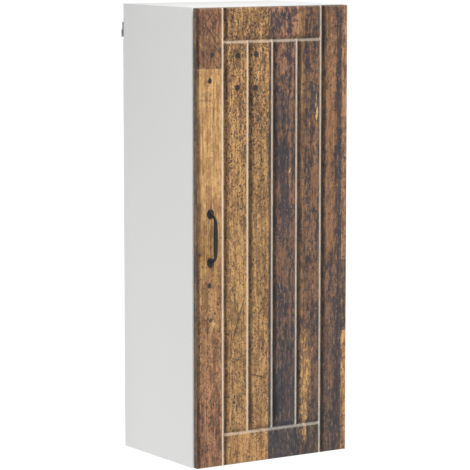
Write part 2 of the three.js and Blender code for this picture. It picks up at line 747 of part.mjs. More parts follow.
function addHinge(hinge) {
  const parent = addGroup(`hinge_${hinge.name}`);
  const webFace = INNER_X - ARM_STANDOFF - ARM_THICK;
  addPiece(parent, `hinge_cup_${hinge.name}`, hingeCup(hinge), 'nickel');
  addPiece(parent, `hinge_pin_${hinge.name}`, pivotBar(hinge, PIN_LENGTH, PIN_RADIUS), 'zinc');
  addPiece(parent, `hinge_arm_${hinge.name}`, hingeArm(hinge), 'nickel');
  addPiece(parent, `hinge_plate_${hinge.name}`, hingePlate(hinge), 'nickel');
  cupScrewSpots(hinge).forEach((spot, index) => {
    addPiece(parent, `cup_screw_${hinge.name}_${index + 1}`, screw(CUP_SCREW, spot, [0, -1, 0]), 'zinc');
  });
  [-1, 1].forEach((side, index) => {
    const origin = [INNER_X - PLATE_BASE, FRONT + PLATE_SETBACK, hinge.z + side * PLATE_SCREW_SPACING / 2];
    addPiece(parent, `plate_screw_${hinge.name}_${index + 1}`, screw(PLATE_SCREW, origin, [1, 0, 0]), 'zinc');
  });
  const fixing = [webFace, FRONT + ARM_SCREW_SETBACK, hinge.z];
  addPiece(parent, `arm_screw_${hinge.name}`, screw(ARM_SCREW, fixing, [1, 0, 0]), 'zinc');
  const side = [webFace, FRONT + SIDE_SCREW_SETBACK, hinge.z];
  addPiece(parent, `side_screw_${hinge.name}`, screw(SIDE_SCREW, side, [1, 0, 0]), 'zinc');
}

addCarcass();
addShelves();
addHangers();
addDoor();
HINGES.forEach(addHinge);

export default group;
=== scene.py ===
"""Visual model of a tall hanging wall cabinet with one old-wood door.

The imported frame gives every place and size. The carcass is white melamine board, the door is
routed board wrapped in a printed old-wood foil, and the fittings are plated steel, cast zinc and
moulded plastic. Lengths are metres; values written in millimetres are multiplied by MM.
"""

import logging
import math
from collections.abc import Sequence
from dataclasses import dataclass, field
from enum import Enum

import bmesh
import bpy
from bpy.types import Material, Node, NodeSocket, NodeTree, Object
from mathutils import Matrix, Vector


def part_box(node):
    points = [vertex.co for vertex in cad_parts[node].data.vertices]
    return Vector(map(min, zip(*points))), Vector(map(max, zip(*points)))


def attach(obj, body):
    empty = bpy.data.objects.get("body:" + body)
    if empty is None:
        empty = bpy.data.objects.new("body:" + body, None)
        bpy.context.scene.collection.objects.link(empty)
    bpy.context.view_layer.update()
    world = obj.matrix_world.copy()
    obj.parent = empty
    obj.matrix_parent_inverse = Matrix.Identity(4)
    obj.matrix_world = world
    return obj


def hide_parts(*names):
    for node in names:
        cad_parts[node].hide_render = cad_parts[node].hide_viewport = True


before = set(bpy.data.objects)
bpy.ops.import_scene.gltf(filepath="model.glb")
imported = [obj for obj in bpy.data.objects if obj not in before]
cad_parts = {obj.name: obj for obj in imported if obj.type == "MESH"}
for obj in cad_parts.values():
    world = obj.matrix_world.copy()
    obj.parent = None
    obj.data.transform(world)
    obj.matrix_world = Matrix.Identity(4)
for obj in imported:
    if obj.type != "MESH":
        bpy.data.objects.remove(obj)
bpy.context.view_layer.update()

LOG = logging.getLogger("wall_cabinet")
MM = 0.001
OVERRUN = 1.0 * MM
SHARP = 32.0

MATH = "ShaderNodeMath"
TIMES = {"operation": "MULTIPLY"}
TIMES_PLUS = {"operation": "MULTIPLY_ADD"}
MINUS = {"operation": "SUBTRACT"}
LARGER = {"operation": "MAXIMUM"}
VECTORS = "ShaderNodeVectorMath"
RANGE = "ShaderNodeMapRange"
SMOOTH = {"interpolation_type": "SMOOTHSTEP"}
MIX = "ShaderNodeMix"
COLOURS = {"data_type": "RGBA"}
ATTRIBUTE = "GeometryNodeInputNamedAttribute"
MOVE = "GeometryNodeTransform"

Point = tuple[float, float, float]
Colour = tuple[float, float, float, float]


class Body(Enum):
    """The rigid bodies that pieces ride on."""

    CARCASS = "carcass"
    DOOR = "door"
    HOOK_LEFT = "hook_left"
    HOOK_RIGHT = "hook_right"
    ADJUSTER_LEFT = "adjuster_left"
    ADJUSTER_RIGHT = "adjuster_right"


class Slot(Enum):
    """The material slots."""

    MELAMINE = "white_melamine"
    HARDBOARD = "white_hardboard"
    FOIL = "old_wood_foil"
    CAST_BLACK = "black_cast_metal"
    ZAMAK = "zinc_die_cast"
    NICKEL = "nickel_plate"
    ZINC = "zinc_plate"
    PLASTIC = "white_plastic"
    SILICONE = "clear_silicone"


class Axis(Enum):
    """The row axis that a prism, a turned part or a screw runs along."""

    X = (1.0, 0.0, 0.0)
    Y = (0.0, 1.0, 0.0)
    Z = (0.0, 0.0, 1.0)
    MINUS_X = (-1.0, 0.0, 0.0)
    MINUS_Y = (0.0, -1.0, 0.0)
    MINUS_Z = (0.0, 0.0, -1.0)

    @property
    def vector(self) -> Vector:
        """The axis as a unit vector."""
        return Vector(self.value)

    @property
    def turn(self) -> Matrix:
        """The turn that takes +Z onto this axis."""
        return self.vector.to_track_quat("Z", "Y").to_matrix().to_4x4()


# ---------------------------------------------------------------- colours, nodes and meshes


def srgb(code: str) -> Colour:
    """Turns an sRGB hex colour into linear light.

    Args:
        code: Six hex digits after a hash sign.

    Returns:
        Linear red, green, blue and an alpha of one.
    """
    parts = [int(code[i : i + 2], 16) / 255 for i in (1, 3, 5)]
    linear = [c / 12.92 if c <= 0.04045 else ((c + 0.055) / 1.055) ** 2.4 for c in parts]
    return (linear[0], linear[1], linear[2], 1.0)


def first_output(node: Node) -> NodeSocket:
    """The first output that a node's settings leave in use."""
    return next(socket for socket in node.outputs if socket.enabled)


def add_node(
    tree: NodeTree, kind: str, links: dict | Sequence = (), **settings: object
) -> Node:
    """Adds one node with its settings and its inputs.

    Args:
        tree: The node tree to add to.
        kind: The node's type name.
        links: The inputs by name or number, or the first inputs in order. Each is a socket to link
            from, a node whose first output is linked from, or a plain value.
        **settings: Node properties, set before the inputs.

    Returns:
        The new node.
    """
    node = tree.nodes.new(kind)
    for key, value in settings.items():
        setattr(node, key, value)
    for key, value in links.items() if isinstance(links, dict) else enumerate(links):
        if isinstance(value, Node):
            value = first_output(value)
        if isinstance(value, NodeSocket):
            tree.links.new(value, node.inputs[key])
        else:
            node.inputs[key].default_value = value
    return node


def mesh_object(
    name: str,
    vertices: Sequence[Sequence[float]],
    faces: Sequence[Sequence[int]],
    materials: Sequence[Material] = (),
) -> Object:
    """Makes a linked mesh object at the origin.

    Args:
        name: The object's name.
        vertices: Points in the row frame, in metres.
        faces: Vertex numbers of each face, seen anticlockwise from outside.
        materials: Materials for the object's slots.

    Returns:
        The new object.
    """
    mesh = bpy.data.meshes.new(name)
    mesh.from_pydata([tuple(v) for v in vertices], [], [tuple(f) for f in faces])
    mesh.update()
    for material in materials:
        mesh.materials.append(material)
    made = bpy.data.objects.new(name, mesh)
    bpy.context.scene.collection.objects.link(made)
    return made


def from_bmesh(name: str, work: bmesh.types.BMesh, *materials: Material) -> Object:
    """Turns a finished bmesh into a linked object and frees it.

    Args:
        name: The object's name.
        work: The bmesh.
        *materials: Materials for the object's slots.

    Returns:
        The new object.
    """
    made = mesh_object(name, [], [], materials)
    work.to_mesh(made.data)
    work.free()
    return made


def smooth(made: Object, degrees: float = 35.0) -> Object:
    """Shades an object smooth, with edges sharper than an angle kept crisp.

    Args:
        made: The object.
        degrees: The angle between faces past which an edge stays sharp.

    Returns:
        The same object.
    """
    made.data.shade_smooth()
    made.data.set_sharp_from_angle(angle=math.radians(degrees))
    return made


def flatten(made: Object) -> Object:
    """Bakes an object's modifiers into its mesh.

    Args:
        made: An object with modifiers.

    Returns:
        The same object with a plain mesh and no modifiers.
    """
    graph = bpy.context.evaluated_depsgraph_get()
    graph.update()
    plain = bpy.data.meshes.new_from_object(
        made.evaluated_get(graph), preserve_all_data_layers=True, depsgraph=graph
    )
    plain.name = made.name
    made.modifiers.clear()
    made.data = plain
    return made


def round_edges(
    work: bmesh.types.BMesh, edges: Sequence[bmesh.types.BMEdge], radius: float, segments: int = 2
) -> None:
    """Rounds edges.

    Args:
        work: The bmesh they belong to.
        edges: The edges.
        radius: Radius of the rounding.
        segments: Facets across it.
    """
    bmesh.ops.bevel(work, geom=edges, offset=radius, segments=segments, profile=0.5, affect="EDGES")


def rounded_box(
    name: str, low: Sequence[float], high: Sequence[float], radius: float, *materials: Material,
    segments: int = 2,
) -> Object:
    """Makes a box with all arrises rounded.

    Args:
        name: The object's name.
        low: Lowest corner.
        high: Highest corner.
        radius: Radius of the arrises.
        *materials: Materials for the object's slots.
        segments: Facets across one arris.

    Returns:
        The new object.
    """
    work = bmesh.new()
    bmesh.ops.create_cube(work, size=1.0)
    low_point, high_point = Vector(low), Vector(high)
    size = high_point - low_point
    middle = (low_point + high_point) / 2
    for vertex in work.verts:
        vertex.co = Vector(c * s for c, s in zip(vertex.co, size)) + middle
    round_edges(work, work.edges[:], radius, segments)
    return smooth(from_bmesh(name, work, *materials), 50)


def prism(
    name: str, outline: Sequence[tuple[float, float]], low: float, high: float, axis: Axis,
    *materials: Material, radius: float = 0.0, segments: int = 2,
) -> Object:
    """Makes an outline into a prism with rounded arrises.

    Args:
        name: The object's name.
        outline: Corners, anticlockwise seen from the axis's head: (y, z) along X, (z, x) along Y
            or (x, y) along Z.
        low: Where the prism starts on the axis.
        high: Where it ends.
        axis: Axis.X, Axis.Y or Axis.Z.
        *materials: Materials for the object's slots.
        radius: Radius of the arrises between sides and ends.
        segments: Facets across one arris.

    Returns:
        The new object.
    """
    shift = {Axis.X: 1, Axis.Y: 2, Axis.Z: 0}[axis]
    ends = []
    for along in (low, high):
        ring = []
        for u, v in outline:
            place = (u, v, along)
            ring.append(tuple(place[(i - shift) % 3] for i in range(3)))
        ends.append(ring)
    count = len(outline)
    faces = [list(range(count))[::-1], list(range(count, 2 * count))]
    faces += [[i, (i + 1) % count, count + (i + 1) % count, count + i] for i in range(count)]
    made = mesh_object(name, ends[0] + ends[1], faces, materials)
    work = bmesh.new()
    work.from_mesh(made.data)
    bmesh.ops.recalc_face_normals(work, faces=work.faces[:])
    if radius:
        rims = [e for e in work.edges if len({v.index // count for v in e.verts}) == 1]
        round_edges(work, rims, radius, segments)
    work.to_mesh(made.data)
    work.free()
    return smooth(made)


def turned(
    name: str, profile: Sequence[tuple[float, float]], origin: Sequence[float], axis: Axis,
    *materials: Material, sides: int = 32,
) -> Object:
    """Turns a closed profile about an axis.

    Args:
        name: The object's name.
        profile: (radius, run) pairs that start and end on the axis.
        origin: Where run zero is.
        axis: The direction of growing run.
        *materials: Materials for the object's slots.
        sides: Facets around the axis.

    Returns:
        The new object, with closed poles.
    """
    work = bmesh.new()
    rings: list[list[bmesh.types.BMVert]] = []
    place = Matrix.Translation(Vector(origin)) @ axis.turn
    for radius, run in profile:
        if radius < 1e-9:
            rings.append([work.verts.new(place @ Vector((0, 0, run)))])
            continue
        angles = [2 * math.pi * k / sides for k in range(sides)]
        points = [Vector((radius * math.cos(a), radius * math.sin(a), run)) for a in angles]
        rings.append([work.verts.new(place @ p) for p in points])
    for first, second in zip(rings, rings[1:]):
        for k in range(sides):
            corners = [first[k % len(first)], first[(k + 1) % len(first)]]
            corners += [second[(k + 1) % len(second)], second[k % len(second)]]
            work.faces.new(list(dict.fromkeys(corners)))
    bmesh.ops.recalc_face_normals(work, faces=work.faces[:])
    return smooth(from_bmesh(name, work, *materials))


def combine(made: Object, operation: str, *others: Object) -> Object:
    """Cuts solids out of an object or welds them to it, and removes them.

    Args:
        made: A closed mesh.
        operation: DIFFERENCE or UNION.
        *others: The closed meshes to take away or add.

    Returns:
        The first object, changed.
    """
    for other in others:
        modifier = made.modifiers.new("combine", "BOOLEAN")
        modifier.operation = operation
        modifier.solver = "EXACT"
        modifier.object = other
    flatten(made)
    for other in others:
        bpy.data.objects.remove(other)
    return made


def cut(made: Object, *cutters: Object) -> Object:
    """Cuts solids out of an object and shades the result smooth."""
    return smooth(combine(made, "DIFFERENCE", *cutters))


def bore(
    name: str, radius: float, depth: float, mouth: Sequence[float], axis: Axis, sides: int
) -> Object:
    """Makes the body that drills a round hole.

    Args:
        name: The object's name.
        radius: Radius of the hole.
        depth: Depth of the hole.
        mouth: The middle of its mouth.
        axis: The direction out of the hole.
        sides: Facets around it.

    Returns:
        The cutter, which stands a little proud of the mouth.
    """
    profile = [(0.0, -depth), (radius, -depth), (radius, OVERRUN), (0.0, OVERRUN)]
    return turned(name, profile, mouth, axis, sides=sides)


def corners(node: str) -> tuple[Vector, Vector]:
    """The lowest and highest corner of a CAD node, as vectors."""
    low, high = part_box(node)
    return Vector(low), Vector(high)


def middle_of(node: str) -> Vector:
    """The middle of a CAD node's box."""
    low, high = corners(node)
    return (low + high) / 2


def ship(made: Object, body: Body, slot: Slot, *nodes: str) -> Object:
    """Puts a finished piece on its body and reports it.

    Args:
        made: The finished object, at the origin.
        body: The body it rides on.
        slot: The material slot it belongs to; not used.
        *nodes: CAD nodes that it stands for.

    Returns:
        The same object.
    """
    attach(made, body.value)
    if nodes:
        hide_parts(*nodes)
    LOG.info("%s: %d faces on %s", made.name, len(made.data.polygons), body.value)
    return made


# ---------------------------------------------------------------- geometry node trees


class GeometryTree:
    """A geometry node tree with named inputs, baked to a plain mesh."""

    def __init__(self, name: str) -> None:
        """Starts an empty tree with a geometry input."""
        self.tree = bpy.data.node_groups.new(name, "GeometryNodeTree")
        self.identifiers: dict[str, str] = {}
        geometry = {"name": "Geometry", "socket_type": "NodeSocketGeometry"}
        socket = self.tree.interface.new_socket(in_out="INPUT", **geometry)
        self.tree.interface.new_socket(in_out="OUTPUT", **geometry)
        self.identifiers["Geometry"] = socket.identifier
        self.start = add_node(self.tree, "NodeGroupInput")

    def value(self, name: str, kind: str = "NodeSocketFloat") -> NodeSocket:
        """Adds a named input.

        Args:
            name: The input's name.
            kind: The socket's type name.

        Returns:
            The socket that gives the value inside the tree.
        """
        socket = self.tree.interface.new_socket(name=name, in_out="INPUT", socket_type=kind)
        self.identifiers[name] = socket.identifier
        return self.start.outputs[name]

    def add(self, kind: str, links: dict | Sequence = (), **settings: object) -> Node:
        """Adds a node to the tree; see add_node."""
        return add_node(self.tree, kind, links, **settings)

    def close(self, geometry: NodeSocket, material: NodeSocket) -> None:
        """Ends the tree in Realize Instances and Set Material.

        Args:
            geometry: The geometry to give out.
            material: The material's socket.
        """
        plain = self.add("GeometryNodeRealizeInstances", (geometry,))
        dressed = self.add("GeometryNodeSetMaterial", {"Geometry": plain, "Material": material})
        self.add("NodeGroupOutput", (dressed,))

    def bake(self, made: Object, **values: object) -> Object:
        """Runs the tree on an object and keeps the result as its plain mesh.

        Args:
            made: The object whose mesh goes in.
            **values: Input values, with spaces in the input's name written as underscores.

        Returns:
            The same object.
        """
        modifier = made.modifiers.new("tree", "NODES")
        modifier.node_group = self.tree
        for name, value in values.items():
            modifier[self.identifiers[name.replace("_", " ").capitalize()]] = value
        return flatten(made)


class PlacedCopies(GeometryTree):
    """Puts a copy of one part on every point, along the point's own direction and size."""

    def __init__(self) -> None:
        """Builds the tree."""
        super().__init__("placed_copies")
        part = self.value("Part", "NodeSocketObject")
        finish = self.value("Finish", "NodeSocketMaterial")
        source = self.add("GeometryNodeObjectInfo", {"Object": part}, transform_space="ORIGINAL")
        direction = self.add(ATTRIBUTE, {"Name": "direction"}, data_type="FLOAT_VECTOR")
        size = self.add(ATTRIBUTE, {"Name": "size"}, data_type="FLOAT")
        twist = self.add(ATTRIBUTE, {"Name": "twist"}, data_type="FLOAT")
        around = {"Axis": (0, 0, 1), "Angle": twist.outputs[0]}
        spin = self.add("FunctionNodeAxisAngleToRotation", around)
        aim = {"Rotation": spin.outputs[0], "Vector": direction.outputs[0]}
        turn = self.add("FunctionNodeAlignRotationToVector", aim, axis="Z")
        copies = self.add(
            "GeometryNodeInstanceOnPoints",
            {
                "Points": self.start.outputs["Geometry"],
                "Instance": source.outputs["Geometry"],
                "Rotation": turn.outputs[0],
                "Scale": size.outputs[0],
            },
        )
        self.close(copies.outputs[0], finish)


@dataclass(frozen=True)
class Spot:
    """Where one copy goes.

    Attributes:
        place: The copy's origin.
        axis: Where the copy's +Z points.
        size: The copy's scale.
        twist: Turn about its own axis, in radians.
    """

    place: Point
    axis: Axis
    size: float = 1.0
    twist: float = 0.0


def spread(
    name: str, part: Object, spots: Sequence[Spot], finish: Material, tree: PlacedCopies
) -> Object:
    """Makes one mesh of copies of a part and removes the part.

    Args:
        name: The new object's name.
        part: The part to copy, built about the origin along +Z.
        spots: Where the copies go.
        finish: The copies' material.
        tree: The tree that places them.

    Returns:
        The new object.
    """
    made = mesh_object(name, [spot.place for spot in spots], [])
    direction = made.data.attributes.new("direction", "FLOAT_VECTOR", "POINT")
    direction.data.foreach_set("vector", [c for spot in spots for c in spot.axis.value])
    for label in ("size", "twist"):
        layer = made.data.attributes.new(label, "FLOAT", "POINT")
        layer.data.foreach_set("value", [getattr(spot, label) for spot in spots])
    tree.bake(made, part=part, finish=finish)
    bpy.data.objects.remove(part)
    return smooth(made)


def nodes_of(start: str) -> list[str]:
    """The CAD nodes whose names start so, in the frame's order."""
    return [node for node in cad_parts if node.startswith(start)]


class PinHoleRows(GeometryTree):
    """Drills rows of blind shelf-pin holes into a side board."""

    drill_sides = 20

    def __init__(self) -> None:
        """Builds the tree: a grid of drill bodies around each shelf, cut out of the board."""
        super().__init__("pin_hole_rows")
        across = self.value("Row run")
        pitch = self.value("Pitch")
        count = self.value("Count", "NodeSocketInt")
        centre = self.value("Centre", "NodeSocketVector")
        step = self.value("Shelf step")
        radius = self.value("Radius")
        depth = self.value("Depth")
        finish = self.value("Finish", "NodeSocketMaterial")
        gaps = self.add(MATH, (count, 1.0), **MINUS)
        height = self.add(MATH, (pitch, gaps), **TIMES)
        twice = self.add(MATH, (depth, 2.0), **TIMES)
        rows = {"Size X": height, "Size Y": across, "Vertices X": count, "Vertices Y": 2}
        grid = self.add("GeometryNodeMeshGrid", rows)
        sideways = (0, math.pi / 2, 0)
        stand = {"Geometry": grid.outputs[0], "Translation": centre, "Rotation": sideways}
        upright = self.add(MOVE, stand)
        lift = self.add("ShaderNodeCombineXYZ", {"Z": step})
        second = self.add(MOVE, {"Geometry": upright.outputs[0], "Translation": lift.outputs[0]})
        both = self.add("GeometryNodeJoinGeometry")
        self.tree.links.new(upright.outputs[0], both.inputs[0])
        self.tree.links.new(second.outputs[0], both.inputs[0])
        shape = {"Vertices": self.drill_sides, "Radius": radius, "Depth": twice}
        drill = self.add("GeometryNodeMeshCylinder", shape)
        drills = self.add(
            "GeometryNodeInstanceOnPoints",
            {"Points": both.outputs[0], "Instance": drill.outputs[0], "Rotation": sideways},
        )
        solid = self.add("GeometryNodeRealizeInstances", (drills.outputs[0],))
        drilled = self.add("GeometryNodeMeshBoolean", operation="DIFFERENCE", solver="EXACT")
        self.tree.links.new(self.start.outputs["Geometry"], drilled.inputs["Mesh 1"])
        self.tree.links.new(solid.outputs[0], drilled.inputs["Mesh 2"])
        self.close(drilled.outputs[0], finish)


class GroovedFront(GeometryTree):
    """Presses plank grooves and a rounded arris into the flat front of a door.

    Vertices on the front plane sink into the leaf; the rest stay. The tree also stores where
    painted shade lies on the right of each groove and along the leaf's left arris, and where a
    painted highlight lies on each groove's left wall, for the finish to read. Stops are metres
    from a groove's centre line, or from the leaf's left edge for the arris.
    """

    # Where painted shade, painted highlight and the arris's painted shade lie across a groove or edge.
    painted_shade_stops = (0.0004, 0.0018, 0.0055, 0.012)
    painted_highlight_stops = (-0.0066, -0.0046, -0.0006, 0.0008)
    painted_arris_shade_stops = (-0.002, -0.001, 0.0035, 0.0065)
    painted_arris_shade_share = 0.8
    section_power = 1.7
    front_reach = 0.0005

    def __init__(self) -> None:
        """Builds the tree from one sum for each of the two groove directions and the arris."""
        super().__init__("grooved_front")
        first = self.value("First groove")
        pitch = self.value("Pitch")
        last_number = self.value("Last number")
        half_width = self.value("Half width")
        depth = self.value("Depth")
        cross = self.value("Cross height")
        front = self.value("Front plane")
        half_x = self.value("Half leaf width")
        half_z = self.value("Half leaf height")
        round_radius = self.value("Arris radius")
        cross_share = self.value("Cross share")
        finish = self.value("Finish", "NodeSocketMaterial")

        place = self.add("GeometryNodeInputPosition")
        xyz = self.add("ShaderNodeSeparateXYZ", (place,))
        x, y, z = xyz.outputs

        # The nearest upright groove, and how far beside it a vertex lies.
        from_first = self.add(MATH, (x, first), **MINUS)
        steps = self.add(MATH, (from_first, pitch), operation="DIVIDE")
        whole = self.add(MATH, (steps,), operation="ROUND")
        number = self.add("ShaderNodeClamp", {"Value": whole, "Min": 0.0, "Max": last_number})
        run = self.add(MATH, (number, pitch, first), **TIMES_PLUS)
        beside = self.add(MATH, (x, run), **MINUS)

        # The outer grooves run the full height, the inner ones stop at the cross grooves.
        height = self.add(MATH, (z,), operation="ABSOLUTE")
        inside = self.add(MATH, (height, cross), operation="LESS_THAN")
        is_first = self.add(MATH, (number, 0.5), operation="LESS_THAN")
        not_last = self.add(MATH, (last_number, 0.5), **MINUS)
        is_last = self.add(MATH, (number, not_last), operation="GREATER_THAN")
        outer = self.add(MATH, (is_first, is_last), **LARGER)
        upright_here = self.add(MATH, (inside, outer), **LARGER)
        upright = self.profile(beside, half_width, upright_here)

        # The cross grooves run from the first upright groove to the last.
        end = self.add(MATH, (last_number, pitch, first), **TIMES_PLUS)
        after = self.add(MATH, (x, first), operation="GREATER_THAN")
        before = self.add(MATH, (x, end), operation="LESS_THAN")
        between = self.add(MATH, (after, before), **TIMES)
        side = self.add(MATH, (z,), operation="SIGN")
        above = self.add(MATH, (height, cross), **MINUS)
        level = self.profile(above, half_width, between)
        deepest = self.add(MATH, (upright, level), **LARGER)
        sink = self.add(MATH, (deepest, depth), **TIMES)

        # The arris falls away to all four edges.
        off_middle = self.add(MATH, (x,), operation="ABSOLUTE")
        edge_x = self.add(MATH, (half_x, off_middle), **MINUS)
        edge_z = self.add(MATH, (half_z, height), **MINUS)
        fall_x = self.arris(edge_x, round_radius)
        fall_z = self.arris(edge_z, round_radius)
        arris = self.add(MATH, (fall_x, fall_z), **LARGER)
        total = self.add(MATH, (sink, arris), **LARGER)
        limit = self.add(MATH, (front, self.front_reach), operation="ADD")
        on_front = self.add(MATH, (y, limit), operation="LESS_THAN")
        move = self.add("ShaderNodeCombineXYZ", {"Y": total})

        # Painted shade and a painted highlight are stored beside the grooves for the finish.
        down = self.add(MATH, (above, side), **TIMES)
        # The painted shade and painted highlight show weaker in the cross grooves.
        faint = self.add(MATH, (between, cross_share), **TIMES)
        geometry = self.start.outputs["Geometry"]
        for label, stops in (("groove_shade", self.painted_shade_stops), ("groove_light", self.painted_highlight_stops)):
            upright_share = self.window(beside, upright_here, stops)
            level_share = self.window(down, faint, stops)
            share = self.add(MATH, (upright_share, level_share), **LARGER)
            if label == "groove_shade":
                # Painted shade along the leaf's left arris, where the rounded edge faces away from the
                # light.
                from_left = self.add(MATH, (x, half_x), operation="ADD")
                left_edge_painted_shade = self.window(from_left, self.painted_arris_shade_share, self.painted_arris_shade_stops)
                share = self.add(MATH, (share, left_edge_painted_shade), **LARGER)
            only_front = self.add(MATH, (share, on_front), **TIMES)
            geometry = self.add(
                "GeometryNodeStoreNamedAttribute",
                {"Geometry": geometry, "Name": label, "Value": only_front},
                data_type="FLOAT",
                domain="POINT",
            )
        pressing = {"Geometry": geometry, "Selection": on_front, "Offset": move}
        pressed = self.add("GeometryNodeSetPosition", pressing)
        self.close(pressed.outputs[0], finish)

    def profile(self, offset: object, half_width: object, here: object) -> Node:
        """Adds the groove's section: a V of one with convex shoulders.

        Args:
            offset: Distance from the groove's centre line.
            half_width: Half the groove's width.
            here: One where the groove exists, else zero.

        Returns:
            The node that gives the depth, from zero to one.
        """
        away = self.add(MATH, (offset,), operation="ABSOLUTE")
        share = self.add(MATH, (away, half_width), operation="DIVIDE")
        left = self.add(MATH, (1.0, share), **MINUS, use_clamp=True)
        bent = self.add(MATH, (left, self.section_power), operation="POWER")
        return self.add(MATH, (bent, here), **TIMES)

    def arris(self, edge: object, radius: object) -> Node:
        """Adds a quarter-round fall towards an edge.

        Args:
            edge: Distance from the edge.
            radius: The round's radius.

        Returns:
            The node that gives the fall in metres.
        """
        short = self.add(MATH, (radius, edge), **MINUS)
        kept = self.add(MATH, (short, 0.0), **LARGER)
        square = self.add(MATH, (kept, kept), **TIMES)
        full = self.add(MATH, (radius, radius), **TIMES)
        rest = self.add(MATH, (full, square), **MINUS)
        root = self.add(MATH, (rest,), operation="SQRT")
        return self.add(MATH, (radius, root), **MINUS)

    def window(self, offset: object, here: object, stops: Sequence[float]) -> Node:
        """Adds a share that rises, holds and falls again across a groove.

        Args:
            offset: Signed distance from the groove's centre line.
            here: How much of it exists, from zero to one.
            stops: Where it starts, is full, starts to fall and has gone, in metres.

        Returns:
            The node that gives the share, from zero to one.
        """
        rise = self.add(RANGE, (offset, stops[0], stops[1]))
        fall = self.add(RANGE, (offset, stops[3], stops[2]))
        both = self.add(MATH, (rise, fall), **TIMES)
        return self.add(MATH, (both, here), **TIMES)


# ---------------------------------------------------------------- finishes


@dataclass
class Shader:
    """A material being built: its tree, its main shader and its object coordinates."""

    name: str
    material: Material = field(init=False)
    main: Node = field(init=False)
    place: NodeSocket = field(init=False)

    def __post_init__(self) -> None:
        """Clears a new material down to one shader."""
        self.material = bpy.data.materials.new(self.name)
        self.material.use_nodes = True
        self.tree = self.material.node_tree
        self.tree.nodes.clear()
        self.main = self.add("ShaderNodeBsdfPrincipled")
        self.add("ShaderNodeOutputMaterial", {"Surface": self.main})
        self.place = self.add("ShaderNodeTexCoord").outputs["Object"]

    def add(self, kind: str, links: dict | Sequence = (), **settings: object) -> Node:
        """Adds a node to the material; see add_node."""
        return add_node(self.tree, kind, links, **settings)

    def pattern(
        self, size: Point, detail: float = 3.0, rough: float = 0.5, twist: float = 0.0,
        place: NodeSocket | None = None,
    ) -> NodeSocket:
        """Adds a cloudy pattern whose features have a real size.

        Args:
            size: Feature size along x, y and z, in millimetres.
            detail: How many finer layers it has.
            rough: How strong the finer layers are.
            twist: How much the pattern is dragged about.
            place: The coordinates, or None for the object's own.

        Returns:
            The pattern, around a half.
        """
        scale = tuple(1 / (MM * s) for s in size)
        spot = self.add("ShaderNodeMapping", {"Vector": place or self.place, "Scale": scale})
        look = {"Scale": 1.0, "Detail": detail, "Roughness": rough, "Distortion": twist}
        return self.add("ShaderNodeTexNoise", {"Vector": spot, **look}).outputs[0]

    def relief(self, height: object, depth_mm: float, strength: float = 1.0) -> None:
        """Gives the surface a relief of a real depth.

        Args:
            height: The relief, from zero to one.
            depth_mm: Its depth in millimetres.
            strength: How much of it shows.
        """
        amount = {"Distance": depth_mm * MM, "Strength": strength}
        relief = self.add("ShaderNodeBump", {"Height": height, **amount})
        self.tree.links.new(relief.outputs[0], self.main.inputs["Normal"])

    def feed(self, name: str, source: object) -> None:
        """Links a socket or node to one of the main shader's inputs."""
        socket = first_output(source) if isinstance(source, Node) else source
        self.tree.links.new(socket, self.main.inputs[name])

    def dress(
        self, share: object, colours: Sequence[object], grain: object, rough: Sequence[float],
        window: Sequence[float] = (0.3, 0.7),
    ) -> None:
        """Gives the surface two colours, and a roughness that follows a grain.

        Args:
            share: How much of the second colour shows.
            colours: The two colours, each a node or a hex code.
            grain: The pattern that the roughness follows.
            rough: Roughness at the window's start and end.
            window: The stretch of the grain over which the roughness changes.
        """
        first, second = (srgb(c) if isinstance(c, str) else c for c in colours)
        self.feed("Base Color", self.add(MIX, {0: share, 6: first, 7: second}, **COLOURS))
        self.feed("Roughness", self.add(RANGE, (grain, *window, *rough), **SMOOTH))


@dataclass(frozen=True)
class Grain:
    """A cloudy pattern and how it is read.

    Attributes:
        size: Feature size along x, y and z, in millimetres.
        detail: How many finer layers it has.
        rough: How strong the finer layers are.
        window: The pattern's values where what it steers starts and ends.
    """

    size: Point
    detail: float = 2.0
    rough: float = 0.5
    window: tuple[float, float] = (0.3, 0.7)


@dataclass(frozen=True)
class EvenFinish:
    """A finish of one colour that drifts a little, with a fine texture in its sheen and relief.

    Attributes:
        name: The material's name.
        colours: Its main colour and the one it drifts to.
        drift: Where the second colour lies.
        texture: The fine texture.
        gloss: Roughness where the texture is low and where it is high.
        relief: Depth of the texture in millimetres, and how much of it shows.
        constants: Fixed values of the shader's other inputs.
    """

    name: str
    colours: tuple[str, str]
    drift: Grain
    texture: Grain
    gloss: tuple[float, float]
    relief: tuple[float, float]
    constants: tuple[tuple[str, float], ...] = ()

    def make(self) -> Material:
        """Builds the material.

        Returns:
            The material.
        """
        shader = Shader(self.name)
        drift = shader.pattern(self.drift.size, self.drift.detail, self.drift.rough)
        texture = shader.pattern(self.texture.size, self.texture.detail, self.texture.rough)
        share = shader.add(RANGE, (drift, *self.drift.window), **SMOOTH)
        shader.dress(share, self.colours, texture, self.gloss, self.texture.window)
        for name, value in self.constants:
            shader.main.inputs[name].default_value = value
        shader.relief(texture, *self.relief)
        return shader.material


# Melamine-faced board, pressed: a flat white with a pearl stipple and a soft sheen. The stipple
# is drawn 0.9 mm wide, coarser than the real 0.3, to show.
STIPPLE = Grain((0.9, 0.9, 0.9))
MELAMINE = EvenFinish(
    "melamine_pressed_white", ("#f1f1f0", "#eeeeed"), STIPPLE, STIPPLE, (0.37, 0.48), (0.01, 0.4)
)

# Thin hardboard, lacquered white: flat and even, with a faint felt of fibres under the lacquer.
FELT = Grain((1.5, 1.5, 4.0), 4.0, 0.6, (0.35, 0.7))
FELT_SHEEN = Grain((1.5, 1.5, 4.0), 4.0, 0.6)
HARDBOARD = EvenFinish(
    "hardboard_lacquered_white", ("#efefed", "#e6e6e3"), FELT, FELT_SHEEN, (0.5, 0.6), (0.03, 0.4)
)

